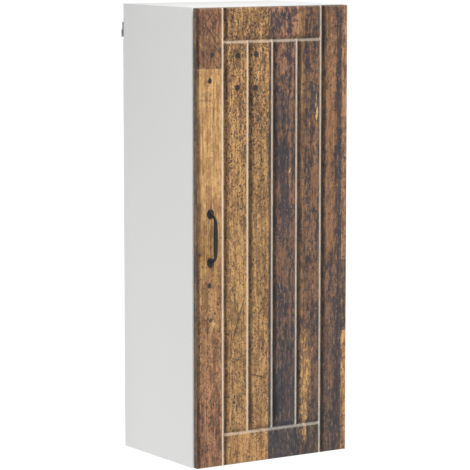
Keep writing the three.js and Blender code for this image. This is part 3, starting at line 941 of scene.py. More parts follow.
# Cast zinc, powder coated black: nearly black with a cool tint, satin, faintly orange-peeled.
CASTING = EvenFinish(
    "cast_zinc_powder_coated_black", ("#14191c", "#20272a"),
    Grain((6, 6, 14), 3.0, 0.5, (0.4, 0.75)), STIPPLE, (0.36, 0.5), (0.05, 0.5),
    (("Specular IOR Level", 0.4),),
)

# Bare and plated metals: a fine grain left by tumbling or polishing, duller where it is thinner.
BLOTCHES = Grain((9, 9, 9), 3.0, 0.5, (0.35, 0.7))
METAL = (("Metallic", 1.0),)
ZAMAK = EvenFinish(
    "zinc_die_cast_tumbled", ("#a9a9a6", "#8e8e8b"),
    BLOTCHES, Grain((0.8, 0.8, 0.8), 4.0, 0.6), (0.42, 0.56), (0.015, 0.4), METAL,
)
NICKEL = EvenFinish(
    "steel_nickel_plated", ("#cfcac1", "#b9b3a9"),
    BLOTCHES, Grain((0.6, 0.6, 7.0), 4.0, 0.6), (0.16, 0.28), (0.015, 0.4), METAL,
)
ZINC = EvenFinish(
    "steel_zinc_plated", ("#bfc3c8", "#a2a5a9"),
    BLOTCHES, Grain((1.4, 1.4, 2.2), 4.0, 0.6), (0.3, 0.44), (0.015, 0.4), METAL,
)

# Injection-moulded polypropylene: milky white, slightly waxy, with a spark-eroded texture.
PLASTIC = EvenFinish(
    "polypropylene_moulded_white", ("#ebeae6", "#e2e1dc"),
    Grain((20, 20, 20)), Grain((0.7, 0.7, 0.7)), (0.42, 0.54), (0.03, 0.5),
    (("Subsurface Weight", 0.08), ("Subsurface Scale", 0.003)),
)

# Clear silicone rubber, cast: a soft bluish translucent button with a faint bloom of dust.
SILICONE = EvenFinish(
    "silicone_cast_clear", ("#dfe6e8", "#eef0f0"),
    Grain((2.5, 2.5, 2.5), 3.0, 0.5, (0.4, 0.7)), Grain((2.5, 2.5, 2.5), 3.0), (0.22, 0.4), (0.03, 0.3),
    (("IOR", 1.41), ("Transmission Weight", 0.55)),
)


@dataclass(frozen=True)
class EdgeBand:
    """Extruded ABS edging: white, a little glossier than the board, with faint lines along it.

    Attributes:
        name: The material's name.
        colours: Its colour, and the tone of the lines.
    """

    name: str = "abs_edging_white"
    colours: tuple[str, str] = ("#f0f0ee", "#e4e4e1")

    def make(self) -> Material:
        """Builds the material.

        Returns:
            The material.
        """
        shader = Shader(self.name)
        upright = shader.pattern((0.8, 0.8, 90), 2.0)
        level = shader.pattern((90, 0.8, 0.8), 2.0)
        both = shader.add(MATH, (upright, level), **TIMES)
        shader.dress(both, self.colours, both, (0.3, 0.38), (0.1, 0.4))
        shader.relief(both, 0.02, 0.4)
        return shader.material


@dataclass(frozen=True)
class RawHardboard:
    """The unlacquered rear of hardboard: mid brown, matt and cloudy, with darker fibres.

    Attributes:
        name: The material's name.
        clouded: The two browns of its clouds.
        fibre: Colour of the dark fibres.
    """

    name: str = "hardboard_raw_brown"
    clouded: tuple[str, str] = ("#8a6a49", "#a17f5b")
    fibre: str = "#6a4c31"

    def make(self) -> Material:
        """Builds the material.

        Returns:
            The material.
        """
        shader = Shader(self.name)
        fibres = shader.pattern((1.2, 1.2, 5.0), 5.0, 0.7, 0.6)
        cloud = shader.pattern((60, 60, 45), 4.0, 0.6)
        tone = shader.add(RANGE, (cloud, 0.3, 0.7), **SMOOTH)
        first, second = (srgb(c) for c in self.clouded)
        brown = shader.add(MIX, {0: tone, 6: first, 7: second}, **COLOURS)
        dark = shader.add(RANGE, (fibres, 0.5, 0.72), **SMOOTH)
        shader.dress(dark, (brown, self.fibre), fibres, (0.72, 0.86))
        shader.relief(fibres, 0.08, 0.6)
        return shader.material


@dataclass(frozen=True)
class Tone:
    """The print's colours at one height of a board.

    Attributes:
        height: The height in millimetres.
        light: Colour of the early wood.
        dark: Colour of the late wood and the stains.
        speckle: How thickly dark pores and worm holes lie, from zero to one.
    """

    height: float
    light: str
    dark: str
    speckle: float = 0.3


@dataclass(frozen=True)
class Board:
    """One printed board of the old-wood foil.

    Attributes:
        span: Left and right edge in millimetres.
        rise: Lower and upper end in millimetres.
        tones: Colours from the lower end to the upper.
        char: How much of it is blackened along the grain, from zero to one.
        strokes: How much it is scored by slanting saw marks, from zero to one.
        seed: Where its grain is taken from.
    """

    span: tuple[float, float]
    rise: tuple[float, float]
    tones: tuple[Tone, ...]
    char: float = 0.0
    strokes: float = 0.0
    seed: float = 0.0

    def holds(self, x: float, z: float) -> bool:
        """Whether a point in millimetres lies on the board."""
        return self.span[0] <= x < self.span[1] and self.rise[0] <= z < self.rise[1]

    def look(self, z: float) -> tuple[Colour, Colour, float]:
        """The print's look at a height.

        Args:
            z: Height in millimetres.

        Returns:
            The light and the dark colour in linear light, and the speckle.
        """
        below = self.tones[0]
        above = self.tones[-1]
        for tone in self.tones:
            if tone.height <= z:
                below = tone
            if tone.height > z:
                above = tone
                break
        gap = above.height - below.height
        share = min(max((z - below.height) / gap, 0.0), 1.0) if gap > 0 else 0.0
        pair = []
        for low, high in ((below.light, above.light), (below.dark, above.dark)):
            pair.append(tuple(a + (b - a) * share for a, b in zip(srgb(low), srgb(high))))
        return pair[0], pair[1], below.speckle + (above.speckle - below.speckle) * share


@dataclass(frozen=True)
class Mark:
    """A nail, knot, stain or scratch in the print.

    Attributes:
        place: Its middle, x and z in millimetres.
        size: Its width and height in millimetres.
        turn: Its lean in degrees, clockwise from upright.
        strength: How strongly it shows.
    """

    place: tuple[float, float]
    size: tuple[float, float]
    turn: float = 0.0
    strength: float = 1.0


@dataclass(frozen=True)
class Streak:
    """A long streak of other colour that runs with the grain.

    Attributes:
        middle: Its middle across the grain, in millimetres.
        rise: Its lower and upper end in millimetres.
        width: Its width in millimetres.
        colour: Its colour.
        strength: How strongly it shows.
        flaky: How broken up it is, from zero to one.
    """

    middle: float
    rise: tuple[float, float]
    width: float
    colour: str
    strength: float
    flaky: float = 0.0


LEAF_LEFT = -197.0
LEAF_RIGHT = 197.0
LEAF_LOW = -499.0
LEAF_TOP = 499.0
STILE_END = -133.0
TAN_END = -14.0
CHAR_END = 64.0
SLIVER_START = 180.0

BOARDS = (
    Board(
        (LEAF_LEFT, STILE_END),
        (369.0, LEAF_TOP),
        (Tone(369, "#a0754f", "#6a4430", 0.35), Tone(499, "#a0744f", "#684331", 0.35)),
        strokes=1.0,
        seed=1.0,
    ),
    Board(
        (LEAF_LEFT, STILE_END),
        (LEAF_LOW, 369.0),
        (
            Tone(-499, "#9a6c49", "#5c3c2a", 0.5),
            Tone(-351, "#b07e56", "#724c33", 0.7),
            Tone(-200, "#b58758", "#7a5434", 0.75),
            Tone(-60, "#bd9058", "#885f37", 0.35),
            Tone(120, "#cfa368", "#a37648", 0.15),
            Tone(369, "#d3a76a", "#a37648", 0.25),
        ),
        seed=2.0,
    ),
    Board(
        (STILE_END, TAN_END),
        (LEAF_LOW, LEAF_TOP),
        (
            Tone(-499, "#bf905a", "#8a6238", 0.65),
            Tone(-380, "#bf915a", "#856039", 0.8),
            Tone(-100, "#c2955b", "#7f5e37", 0.72),
            Tone(60, "#c2955c", "#7f5c37", 0.7),
            Tone(200, "#cb9b60", "#835f3a", 1.0),
            Tone(499, "#cd9c61", "#84603b", 1.0),
        ),
        seed=3.0,
    ),
    Board(
        (TAN_END, CHAR_END),
        (LEAF_LOW, LEAF_TOP),
        (
            Tone(-499, "#4e4440", "#2e2b2f", 0.2),
            Tone(-340, "#554640", "#302d31", 0.2),
            Tone(-180, "#75553f", "#3b3233", 0.3),
            Tone(60, "#866044", "#423534", 0.35),
            Tone(260, "#7f5a3f", "#3e312f", 0.35),
            Tone(499, "#b88462", "#624637", 0.45),
        ),
        char=0.45,
        seed=4.0,
    ),
    Board(
        (CHAR_END, SLIVER_START),
        (LEAF_LOW, LEAF_TOP),
        (
            Tone(-499, "#604a3b", "#362e2d", 0.4),
            Tone(-250, "#7d5b42", "#43342d", 0.45),
            Tone(0, "#886245", "#46352b", 0.4),
            Tone(300, "#8c6444", "#48362c", 0.5),
            Tone(499, "#845f42", "#413029", 0.5),
        ),
        char=0.35,
        seed=5.0,
    ),
    Board(
        (SLIVER_START, LEAF_RIGHT),
        (-66.0, LEAF_TOP),
        (Tone(-66, "#b08562", "#694b36", 0.5), Tone(499, "#b58a65", "#664936", 0.5)),
        seed=6.0,
    ),
    Board(
        (SLIVER_START, LEAF_RIGHT),
        (-226.0, -66.0),
        (Tone(-226, "#8c674c", "#4a372c", 0.4), Tone(-66, "#7c5b43", "#433128", 0.4)),
        char=0.2,
        seed=7.0,
    ),
    Board(
        (SLIVER_START, LEAF_RIGHT),
        (LEAF_LOW, -226.0),
        (Tone(-499, "#b3834f", "#66462f", 0.5), Tone(-226, "#d6a76b", "#87613e", 0.6)),
        seed=8.0,
    ),
)
EDGE_BOARD = Board(
    (LEAF_LEFT, LEAF_RIGHT),
    (LEAF_LOW, LEAF_TOP),
    (Tone(-499, "#82633f", "#4a3624", 0.3), Tone(499, "#86673f", "#4e3925", 0.3)),
    char=0.2,
    seed=9.0,
)
NAILS = (
    Mark((-93.5, 395.4), (16, 16)),
    Mark((-46.4, 397.3), (16, 16), strength=0.95),
    Mark((-95.0, 326.3), (17, 17)),
    Mark((-48.9, 324.6), (18, 18), strength=0.95),
    Mark((-46.3, 310.2), (7, 8), strength=0.7),
    Mark((-165.1, 343.2), (13, 15)),
    Mark((-167.0, -98.2), (12, 14)),
    Mark((-164.5, -174.1), (11, 11), strength=0.85),
    Mark((-191.5, -29.8), (8, 5), strength=0.8),
    Mark((-185.2, -56.7), (5, 7), strength=0.8),
    Mark((-186.0, -109.0), (7, 24), strength=0.5),
    Mark((-159.7, 398.7), (13, 16), strength=0.9),
    Mark((-157.0, 412.0), (26, 30), strength=0.35),
    Mark((-140.0, 408.0), (10, 16), strength=0.6),
    Mark((-175.0, -455.7), (14, 22), strength=0.55),
    Mark((-177.0, 302.0), (40, 7), strength=0.35),
    Mark((-172.0, 313.0), (24, 18), strength=0.3),
    Mark((-102.5, -348.5), (5, 12), strength=0.9),
    Mark((-103.5, -362.0), (9, 7), strength=0.9),
    Mark((-97.6, -372.0), (5, 20), strength=0.85),
    Mark((-90.0, -366.0), (4, 9), strength=0.7),
    Mark((-107.0, -339.0), (4, 6), strength=0.8),
    Mark((-62.0, -298.0), (6, 9), strength=0.7),
    Mark((-95.0, -267.0), (12, 8), strength=0.5),
    Mark((-126.0, -262.0), (8, 12), strength=0.6),
    Mark((-20.0, -345.0), (5, 10), strength=0.6),
)
SCRATCHES = (
    Mark((-93.0, -181.0), (3.4, 142), 18.4, 0.9),
    Mark((-39.0, -308.5), (3.6, 52), 107.5, 0.95),
    Mark((-166.0, 478.0), (4.5, 38), 40.0, 0.8),
    Mark((-163.0, 445.0), (4.0, 28), -35.0, 0.7),
    Mark((-178.0, 452.0), (3.8, 40), 20.0, 0.6),
    Mark((-150.0, 470.0), (3.8, 32), 30.0, 0.65),
    Mark((-185.0, -330.0), (3.6, 60), 30.0, 0.6),
    Mark((-178.0, -305.0), (3.4, 44), 62.0, 0.5),
    Mark((-186.5, -375.0), (3.2, 110), -3.0, 0.65),
    Mark((-183.0, -455.0), (3.2, 80), 4.0, 0.55),
    Mark((-175.0, -155.0), (3.2, 26), 40.0, 0.55),
)
LIGHT_SPOTS = (
    Mark((-156.6, -183.8), (9, 13), strength=0.9),
    Mark((-158.0, -177.0), (5, 9), 20.0, 0.7),
    Mark((73.0, 330.0), (5, 120), 3.0, 0.25),
    Mark((111.0, 290.0), (4, 40), 4.0, 0.6),
    Mark((113.0, 262.0), (6, 36), 8.0, 0.9),
    Mark((94.0, 240.0), (6, 9), strength=0.8),
    Mark((42.0, 140.0), (4, 15), 14.0, 0.8),
    Mark((103.0, -262.0), (3, 14), 20.0, 0.5),
)
STREAKS = (
    Streak(173.0, (LEAF_LOW, LEAF_TOP), 15.0, "#3a3337", 0.75, 0.35),
    Streak(150.0, (-60.0, LEAF_TOP), 24.0, "#b07c4f", 0.6, 0.6),
    Streak(-42.0, (-120.0, 190.0), 46.0, "#7c5a38", 0.5, 0.75),
    Streak(118.0, (430.0, LEAF_TOP), 26.0, "#3b3637", 0.6, 0.6),
    Streak(126.0, (-60.0, 160.0), 12.0, "#3b3639", 0.6, 0.6),
    Streak(73.0, (-200.0, LEAF_TOP), 15.0, "#a87b4d", 0.5, 0.6),
    Streak(67.0, (420.0, LEAF_TOP), 9.0, "#b78a55", 0.8, 0.2),
    Streak(80.0, (-442.0, -200.0), 22.0, "#c8985a", 0.9, 0.85),
    Streak(83.0, (-480.0, -300.0), 9.0, "#d9ac6c", 0.9, 0.6),
    Streak(84.0, (-385.0, -262.0), 30.0, "#cf9f60", 0.9, 0.8),
    Streak(28.0, (-20.0, 210.0), 20.0, "#38373e", 0.75, 0.4),
    Streak(18.0, (230.0, 330.0), 40.0, "#37353b", 0.7, 0.5),
    Streak(108.0, (250.0, 330.0), 26.0, "#37363b", 0.7, 0.4),
    Streak(70.0, (-40.0, 80.0), 13.0, "#353439", 0.7, 0.3),
    Streak(22.0, (-110.0, -30.0), 32.0, "#9c6e46", 0.5, 0.7),
    Streak(36.0, (-430.0, -330.0), 18.0, "#6e5344", 0.4, 0.6),
    Streak(148.0, (-420.0, -140.0), 22.0, "#8a684f", 0.45, 0.7),
    Streak(-8.0, (-300.0, LEAF_TOP), 7.0, "#3c3a40", 0.6, 0.3),
)


@dataclass
class FoilShader(Shader):
    """The printed foil being built: the leaf's attributes and the patterns its layers share."""

    def __post_init__(self) -> None:
        """Reads the attributes and adds the shared patterns."""
        super().__post_init__()
        read = {}
        for name in ("board_light", "board_dark", "board_wear", "groove_shade", "groove_light"):
            read[name] = self.add("ShaderNodeAttribute", attribute_name=name).outputs
        self.light = read["board_light"]["Color"]
        self.dark = read["board_dark"]["Color"]
        # Painted groove shade and painted groove highlight, stored on the leaf by the grooved front.
        self.groove = read["groove_shade"]["Fac"]
        self.bright = read["groove_light"]["Fac"]
        self.strokes = read["board_wear"]["Alpha"]
        wear = self.add("ShaderNodeSeparateColor", (read["board_wear"]["Color"],))
        self.speckle, seed, self.char = wear.outputs

        # Each board takes its grain from another place.
        lift = self.add(MATH, (seed, 1.7), **TIMES)
        shift = self.add("ShaderNodeCombineXYZ", (seed, 0.0, lift))
        self.printed = self.add(VECTORS, (self.place, shift), operation="ADD").outputs[0]
        self.long_grain = self.pattern((11, 11, 150), 6.0, 0.7, 0.4, self.printed)
        self.fine_grain = self.pattern((5, 5, 42), 4.0, 0.75, 0.3, self.printed)
        self.clouds = self.pattern((34, 34, 70), 5.0, 0.65, 0.5, self.printed)
        self.mottled = self.pattern((9, 9, 13), 4.0, 0.72, 0.6, self.printed)
        self.flakes = self.pattern((6, 6, 14), 4.0, 0.7, 0.6)
        self.across, self.inward, self.height = self.add("ShaderNodeSeparateXYZ", (self.place,)).outputs


@dataclass(frozen=True)
class OldWoodFoil:
    """Thermoformed PVC foil printed as reclaimed boards: worn grain, soot, pores and nail heads.

    The print is crisp under a smooth, satin foil. The boards' colours come from the leaf's board
    attributes, and the painted shade and painted highlight of each groove from its groove
    attributes. The grain, pores and specks are drawn three to five times as coarse as real ones,
    to show.

    Attributes:
        name: The material's name.
        soot: Colour of the blackened grain.
        iron: Colour of nail heads and worm holes.
        scar: Colour of bare wood in chips.
        fibre: Colour of dry raised fibres.
        bloom: Colour of the lacquer's bloom.
        shade: Colour that multiplies the print as painted shade beside each groove and at the left
            arris.
        painted_highlight_colour: Colour of the painted highlight on each groove's left wall.
        groove_painted_shade: How far the painted shade darkens beside a groove and at the left
            arris.
        groove_painted_highlight: How far the painted highlight pales a groove's left wall.
        front: y of the arris's edge and of the front face, in metres; marks lie on the face only.
        fade: Length over which a streak fades in or out, in metres.
        ragged: Fineness of the marks' ragged edges, in repeats a metre.
    """

    name: str = "pvc_foil_old_wood_print"
    soot: str = "#302f36"
    iron: str = "#2b2624"
    scar: str = "#dcb67a"
    fibre: str = "#d0a878"
    bloom: str = "#b8c4d8"
    shade: str = "#2a2320"
    painted_highlight_colour: str = "#fff6e4"
    groove_painted_shade: float = 0.68
    groove_painted_highlight: float = 0.97
    front: tuple[float, float] = (-0.3075, -0.3085)
    fade: float = 0.03
    ragged: float = 260.0

    def wood(self, foil: FoilShader) -> Node:
        """Adds early and late wood: long grain, fine grain, mottling and clouds of stain.

        Args:
            foil: The material being built.

        Returns:
            The node that gives the colours.
        """
        figure = foil.add(MATH, (foil.fine_grain, 0.25), **TIMES)
        figure = foil.add(MATH, (foil.long_grain, 0.27, figure), **TIMES_PLUS)
        figure = foil.add(MATH, (foil.clouds, 0.2, figure), **TIMES_PLUS)
        figure = foil.add(MATH, (foil.mottled, 0.28, figure), **TIMES_PLUS)
        late = foil.add(RANGE, (figure, 0.46, 0.54))
        return foil.add(MIX, {0: late, 6: foil.light, 7: foil.dark}, **COLOURS)

    def sooted(self, foil: FoilShader, base: object) -> Node:
        """Adds soot along the grain, broken up across it.

        Args:
            foil: The material being built.
            base: The colours so far.

        Returns:
            The node that gives the new colours.
        """
        burnt = foil.pattern((24, 24, 62), 6.0, 0.68, 0.5, foil.printed)
        burnt = foil.add(MATH, (foil.mottled, 0.5, burnt), **TIMES_PLUS)
        edge = foil.add(MATH, (foil.char, -0.2, 0.86), **TIMES_PLUS)
        past = foil.add(MATH, (burnt, edge), **MINUS)
        black = foil.add(RANGE, (past, -0.03, 0.045), **SMOOTH)
        soot = foil.add(MATH, (black, 0.75), **TIMES)
        charred = foil.add(RANGE, (foil.char, 0.0, 0.15))
        soot = foil.add(MATH, (soot, charred), **TIMES)
        return foil.add(MIX, {0: soot, 6: base, 7: srgb(self.soot)}, **COLOURS)

    def streaked(self, foil: FoilShader, base: object) -> object:
        """Adds the streaks of bare or blackened wood.

        Args:
            foil: The material being built.
            base: The colours so far.

        Returns:
            The node that gives the new colours.
        """
        wobble = foil.pattern((24, 24, 46), 3.0, 0.6)
        drift = foil.add(MATH, (wobble, 0.5), **MINUS)
        across = foil.add(MATH, (drift, 0.028, foil.across), **TIMES_PLUS)
        for streak in STREAKS:
            off = foil.add(MATH, (across, streak.middle * MM), **MINUS)
            away = foil.add(MATH, (off,), operation="ABSOLUTE")
            half = streak.width * MM / 2
            body = foil.add(RANGE, (away, half * 1.25, half * 0.7), **SMOOTH)
            low, high = (h * MM for h in streak.rise)
            foot = foil.add(RANGE, (foil.height, low, low + self.fade), **SMOOTH)
            head = foil.add(RANGE, (foil.height, high, high - self.fade), **SMOOTH)
            edge = 0.36 + 0.19 * streak.flaky
            broken = (foil.flakes, edge - 0.02, edge + 0.06, 1 - streak.flaky, 1.0)
            share = foil.add(MATH, (body, foot), **TIMES)
            share = foil.add(MATH, (share, head), **TIMES)
            share = foil.add(MATH, (share, foil.add(RANGE, broken, **SMOOTH)), **TIMES)
            share = foil.add(MATH, (share, streak.strength), **TIMES)
            base = foil.add(MIX, {0: share, 6: base, 7: srgb(streak.colour)}, **COLOURS)
        return base

    def holed(self, foil: FoilShader) -> Node:
        """Adds pores and worm holes, thick on some boards, slanting saw marks and long cracks.

        Args:
            foil: The material being built.

        Returns:
            The node that gives the share they cover.
        """
        pores = foil.pattern((7.0, 7.0, 10), 3.0, 0.72, 0.9, foil.printed)
        pore_edge = foil.add(MATH, (foil.speckle, -0.12, 0.715), **TIMES_PLUS)
        past = foil.add(MATH, (pores, pore_edge), **MINUS)
        pore = foil.add(RANGE, (past, -0.008, 0.022), **SMOOTH)
        patches = foil.add(RANGE, (foil.clouds, 0.38, 0.56, 0.3, 1.0), **SMOOTH)
        pore = foil.add(MATH, (pore, patches), **TIMES)
        specks = foil.pattern((3.7, 3.7, 5.0), 2.0, 0.6, 0.6, foil.printed)
        speck_edge = foil.add(MATH, (foil.speckle, -0.145, 0.685), **TIMES_PLUS)
        past = foil.add(MATH, (specks, speck_edge), **MINUS)
        speck = foil.add(RANGE, (past, -0.006, 0.02, 0.0, 0.95), **SMOOTH)
        even = foil.add(RANGE, (foil.long_grain, 0.35, 0.5, 0.55, 1.0), **SMOOTH)
        speck = foil.add(MATH, (speck, even), **TIMES)
        holes = foil.add(MATH, (pore, speck), **LARGER)

        slant = foil.add("ShaderNodeMapping", {"Vector": foil.printed, "Rotation": (0, 0.6, 0)})
        saw = foil.pattern((6, 6, 44), 3.0, 0.6, 1.2, slant.outputs[0])
        cuts = foil.add(RANGE, (saw, 0.56, 0.61), **SMOOTH)
        sawn = foil.add(MATH, (cuts, foil.strokes), **TIMES)
        sawn = foil.add(MATH, (sawn, 0.75), **TIMES)
        holes = foil.add(MATH, (holes, sawn), **LARGER)

        crack = foil.pattern((9, 9, 120), 3.0, 0.6, 0.3, foil.printed)
        centred = foil.add(MATH, (crack, 0.5), **MINUS)
        away = foil.add(MATH, (centred,), operation="ABSOLUTE")
        split = foil.add(RANGE, (away, 0.028, 0.008, 0.0, 0.6), **SMOOTH)
        stained = foil.add(RANGE, (foil.clouds, 0.5, 0.62), **SMOOTH)
        split = foil.add(MATH, (split, stained), **TIMES)
        return foil.add(MATH, (holes, split), **LARGER)

    def fibred(self, foil: FoilShader, base: object) -> Node:
        """Adds dry raised fibres: short pale dashes along the grain.

        Args:
            foil: The material being built.
            base: The colours so far.

        Returns:
            The node that gives the new colours.
        """
        dashes = foil.pattern((5, 5, 20), 3.0, 0.7, 0.5, foil.printed)
        dash = foil.add(RANGE, (dashes, 0.57, 0.64, 0.0, 0.6), **SMOOTH)
        pale = foil.add(MIX, {0: 0.35, 6: foil.light, 7: srgb(self.fibre)}, **COLOURS)
        return foil.add(MIX, {0: dash, 6: base, 7: pale}, **COLOURS)

    def covered(self, foil: FoilShader, marks: Sequence[Mark], place: object) -> Node:
        """Adds the share of the front that marks cover.

        Args:
            foil: The material being built.
            marks: The marks.
            place: Coordinates with a little jitter.

        Returns:
            The node that gives the share.
        """
        total = foil.add(MATH, (0.0, 0.0))
        for mark in marks:
            middle = {
                "Vector": place,
                "Location": (mark.place[0] * MM, 0, mark.place[1] * MM),
                "Rotation": (0, math.radians(mark.turn), 0),
                "Scale": (mark.size[0] * MM / 2, 1000.0, mark.size[1] * MM / 2),
            }
            spot = foil.add("ShaderNodeMapping", middle, vector_type="TEXTURE")
            away = foil.add(VECTORS, (spot,), operation="LENGTH").outputs["Value"]
            shape = foil.add(RANGE, (away, 1.05, 0.6, 0.0, mark.strength), **SMOOTH)
            total = foil.add(MATH, (total, shape), **LARGER)
        on_front = foil.add(RANGE, (foil.inward, *self.front), **SMOOTH)
        return foil.add(MATH, (total, on_front), **TIMES)

    def marked(self, foil: FoilShader, base: object, holes: object) -> tuple[object, object]:
        """Adds holes, scratches, nail heads and chips, the last three in their own places.

        Args:
            foil: The material being built.
            base: The colours so far.
            holes: The share that pores, saw marks and cracks cover.

        Returns:
            The new colours, and the share that the holes and scratches cover.
        """
        detail = {"Vector": foil.place, "Scale": self.ragged, "Detail": 3.0}
        ragged = foil.add("ShaderNodeTexNoise", detail).outputs["Color"]
        centred = foil.add(VECTORS, (ragged, (0.5, 0.5, 0.5)), **MINUS)
        small = foil.add(VECTORS, {0: centred, "Scale": 0.005}, operation="SCALE")
        shaken = foil.add(VECTORS, (foil.place, small), operation="ADD").outputs[0]
        nails = self.covered(foil, NAILS, shaken)
        scratches = self.covered(foil, SCRATCHES, shaken)
        chips = self.covered(foil, LIGHT_SPOTS, shaken)
        holes = foil.add(MATH, (holes, scratches), **LARGER)
        deep = foil.add(MIX, {0: 0.82, 6: foil.dark, 7: srgb(self.iron)}, **COLOURS)
        base = foil.add(MIX, {0: holes, 6: base, 7: deep}, **COLOURS)
        base = foil.add(MIX, {0: nails, 6: base, 7: srgb(self.iron)}, **COLOURS)
        broken = foil.add(RANGE, (foil.flakes, 0.4, 0.5), **SMOOTH)
        chips = foil.add(MATH, (chips, broken), **TIMES)
        return foil.add(MIX, {0: chips, 6: base, 7: srgb(self.scar)}, **COLOURS), holes

    def grooved(self, foil: FoilShader, base: object) -> Node:
        """Adds painted shade on the right of each groove and along the left arris, and a painted
        highlight on each groove's left wall.

        Args:
            foil: The material being built.
            base: The colours so far.

        Returns:
            The node that gives the new colours.
        """
        white = (1.0, 1.0, 1.0, 1.0)
        # Painted shade: the print is darkened beside each groove and along the left arris.
        deep = foil.add(MATH, (foil.groove, self.groove_painted_shade), **TIMES)
        kept = foil.add(MIX, {0: deep, 6: white, 7: srgb(self.shade)}, **COLOURS)
        base = foil.add(MIX, {0: 1.0, 6: base, 7: kept}, **COLOURS, blend_type="MULTIPLY")
        # Painted highlight: the print is paled on each groove's left wall, broken up by the mottling.
        uneven = foil.add(RANGE, (foil.mottled, 0.34, 0.58, 0.62, 1.0))
        pale = foil.add(MATH, (foil.bright, self.groove_painted_highlight), **TIMES)
        pale = foil.add(MATH, (pale, uneven), **TIMES)
        own = foil.add(MIX, {0: 0.42, 6: srgb(self.painted_highlight_colour), 7: foil.light}, **COLOURS)
        return foil.add(MIX, {0: pale, 6: base, 7: own}, **COLOURS)

    def make(self) -> Material:
        """Builds the material, layer on layer.

        Returns:
            The material.
        """
        foil = FoilShader(self.name)
        colour = self.sooted(foil, self.wood(foil))
        colour = self.streaked(foil, colour)
        colour = self.fibred(foil, colour)
        colour, holes = self.marked(foil, colour, self.holed(foil))

        # Fine upright grain lines, drawn 4 mm apart to show, and a faint bloom of lacquer.
        thread = foil.pattern((4.2, 4.2, 190), 2.0, 0.6, 0.05, foil.printed)
        grain_line = foil.add(RANGE, (thread, 0.36, 0.64, 0.76, 1.2))
        colour = foil.add(MIX, {0: 1.0, 6: colour, 7: grain_line}, **COLOURS, blend_type="MULTIPLY")
        colour = foil.add(MIX, {0: 0.02, 6: colour, 7: srgb(self.bloom)}, **COLOURS)
        foil.feed("Base Color", self.grooved(foil, colour))
        foil.main.inputs["Specular IOR Level"].default_value = 0.24
        foil.feed("Roughness", foil.add(RANGE, (foil.fine_grain, 0.3, 0.7, 0.3, 0.4)))
        relief = foil.add(MATH, (holes, -0.6, foil.fine_grain), **TIMES_PLUS)
        foil.relief(relief, 0.05, 0.6)
        return foil.material


# ---------------------------------------------------------------- shared parts


@dataclass(frozen=True)
class Finishes:
    """Every material of the cabinet, built once."""

    melamine: Material
    edging: Material
    hardboard: Material
    raw_board: Material
    foil: Material
    casting: Material
    zamak: Material
    nickel: Material
    zinc: Material
    plastic: Material
    silicone: Material

    @classmethod
    def build(cls) -> "Finishes":
        """Builds all materials.

        Returns:
            The set.
        """
        return cls(
            melamine=MELAMINE.make(),
            edging=EdgeBand().make(),
            hardboard=HARDBOARD.make(),
            raw_board=RawHardboard().make(),
            foil=OldWoodFoil().make(),
            casting=CASTING.make(),
            zamak=ZAMAK.make(),
            nickel=NICKEL.make(),
            zinc=ZINC.make(),
            plastic=PLASTIC.make(),
            silicone=SILICONE.make(),
        )


@dataclass(frozen=True)
class CrossScrew:
    """A screw with a cross recess, built about the origin with its head towards +Z.

    Attributes:
        head_radius: Radius of the head.
        head_height: Height of the head above the seat.
        shank_radius: Outer radius of the thread.
        length: Length of the shank below the seat.
        pitch: Distance from thread to thread.
        core: The thread's inner radius as a share of its outer one.
        recess_reach: Length of a recess arm as a share of the head's radius.
        recess_wall: Half the width of a recess arm as a share of the head's radius.
        recess_depth: Depth of the recess as a share of the head's height.
    """

    head_radius: float
    head_height: float
    shank_radius: float
    length: float
    pitch: float = 1.2 * MM
    core: float = 0.74
    recess_reach: float = 0.58
    recess_wall: float = 0.13
    recess_depth: float = 0.62
    dome = ((1.0, 0.0), (1.0, 0.35), (0.93, 0.7), (0.72, 0.93), (0.0, 1.0))

    def build(self, name: str, finish: Material) -> Object:
        """Builds the screw: a domed head, a cross recess, a ridged shank and a pointed end.

        Args:
            name: The object's name.
            finish: Its material.

        Returns:
            The screw, with zero at the seat of its head.
        """
        core = self.shank_radius * self.core
        profile = [(0.0, -self.length), (core * 0.5, -self.length + 0.4 * MM)]
        run = -self.length + 0.9 * MM
        while run < -self.pitch * 1.2:
            crest = run + self.pitch * 0.35
            profile += [(core, run), (self.shank_radius, crest), (core, run + self.pitch * 0.7)]
            run += self.pitch
        profile += [(core, -0.3 * MM), (self.shank_radius, 0.0)]
        top = self.head_height
        profile += [(self.head_radius * share, top * height) for share, height in self.dome]
        screw = turned(name, profile, (0, 0, 0), Axis.Z, finish, sides=20)
        reach = self.head_radius * self.recess_reach
        wall = self.head_radius * self.recess_wall
        deep = top * self.recess_depth
        arms = []
        for number, (x, y) in enumerate(((reach, wall), (wall, reach))):
            low = (-x, -y, top - deep)
            arms.append(rounded_box(f"arm_{number}", low, (x, y, top + deep), wall * 0.3, finish))
        return cut(screw, *arms)


def seat(node: str, axis: Axis, head_height: float) -> Point:
    """Where a screw's head sits.

    Args:
        node: The CAD node of the screw.
        axis: The axis that the head faces.
        head_height: Height of the head.

    Returns:
        The middle of the head's underside.
    """
    low, high = corners(node)
    place = (low + high) / 2
    way = axis.vector
    top = high if sum(way) > 0 else low
    for i in range(3):
        if way[i]:
            place[i] = top[i] - way[i] * head_height
    return tuple(place)


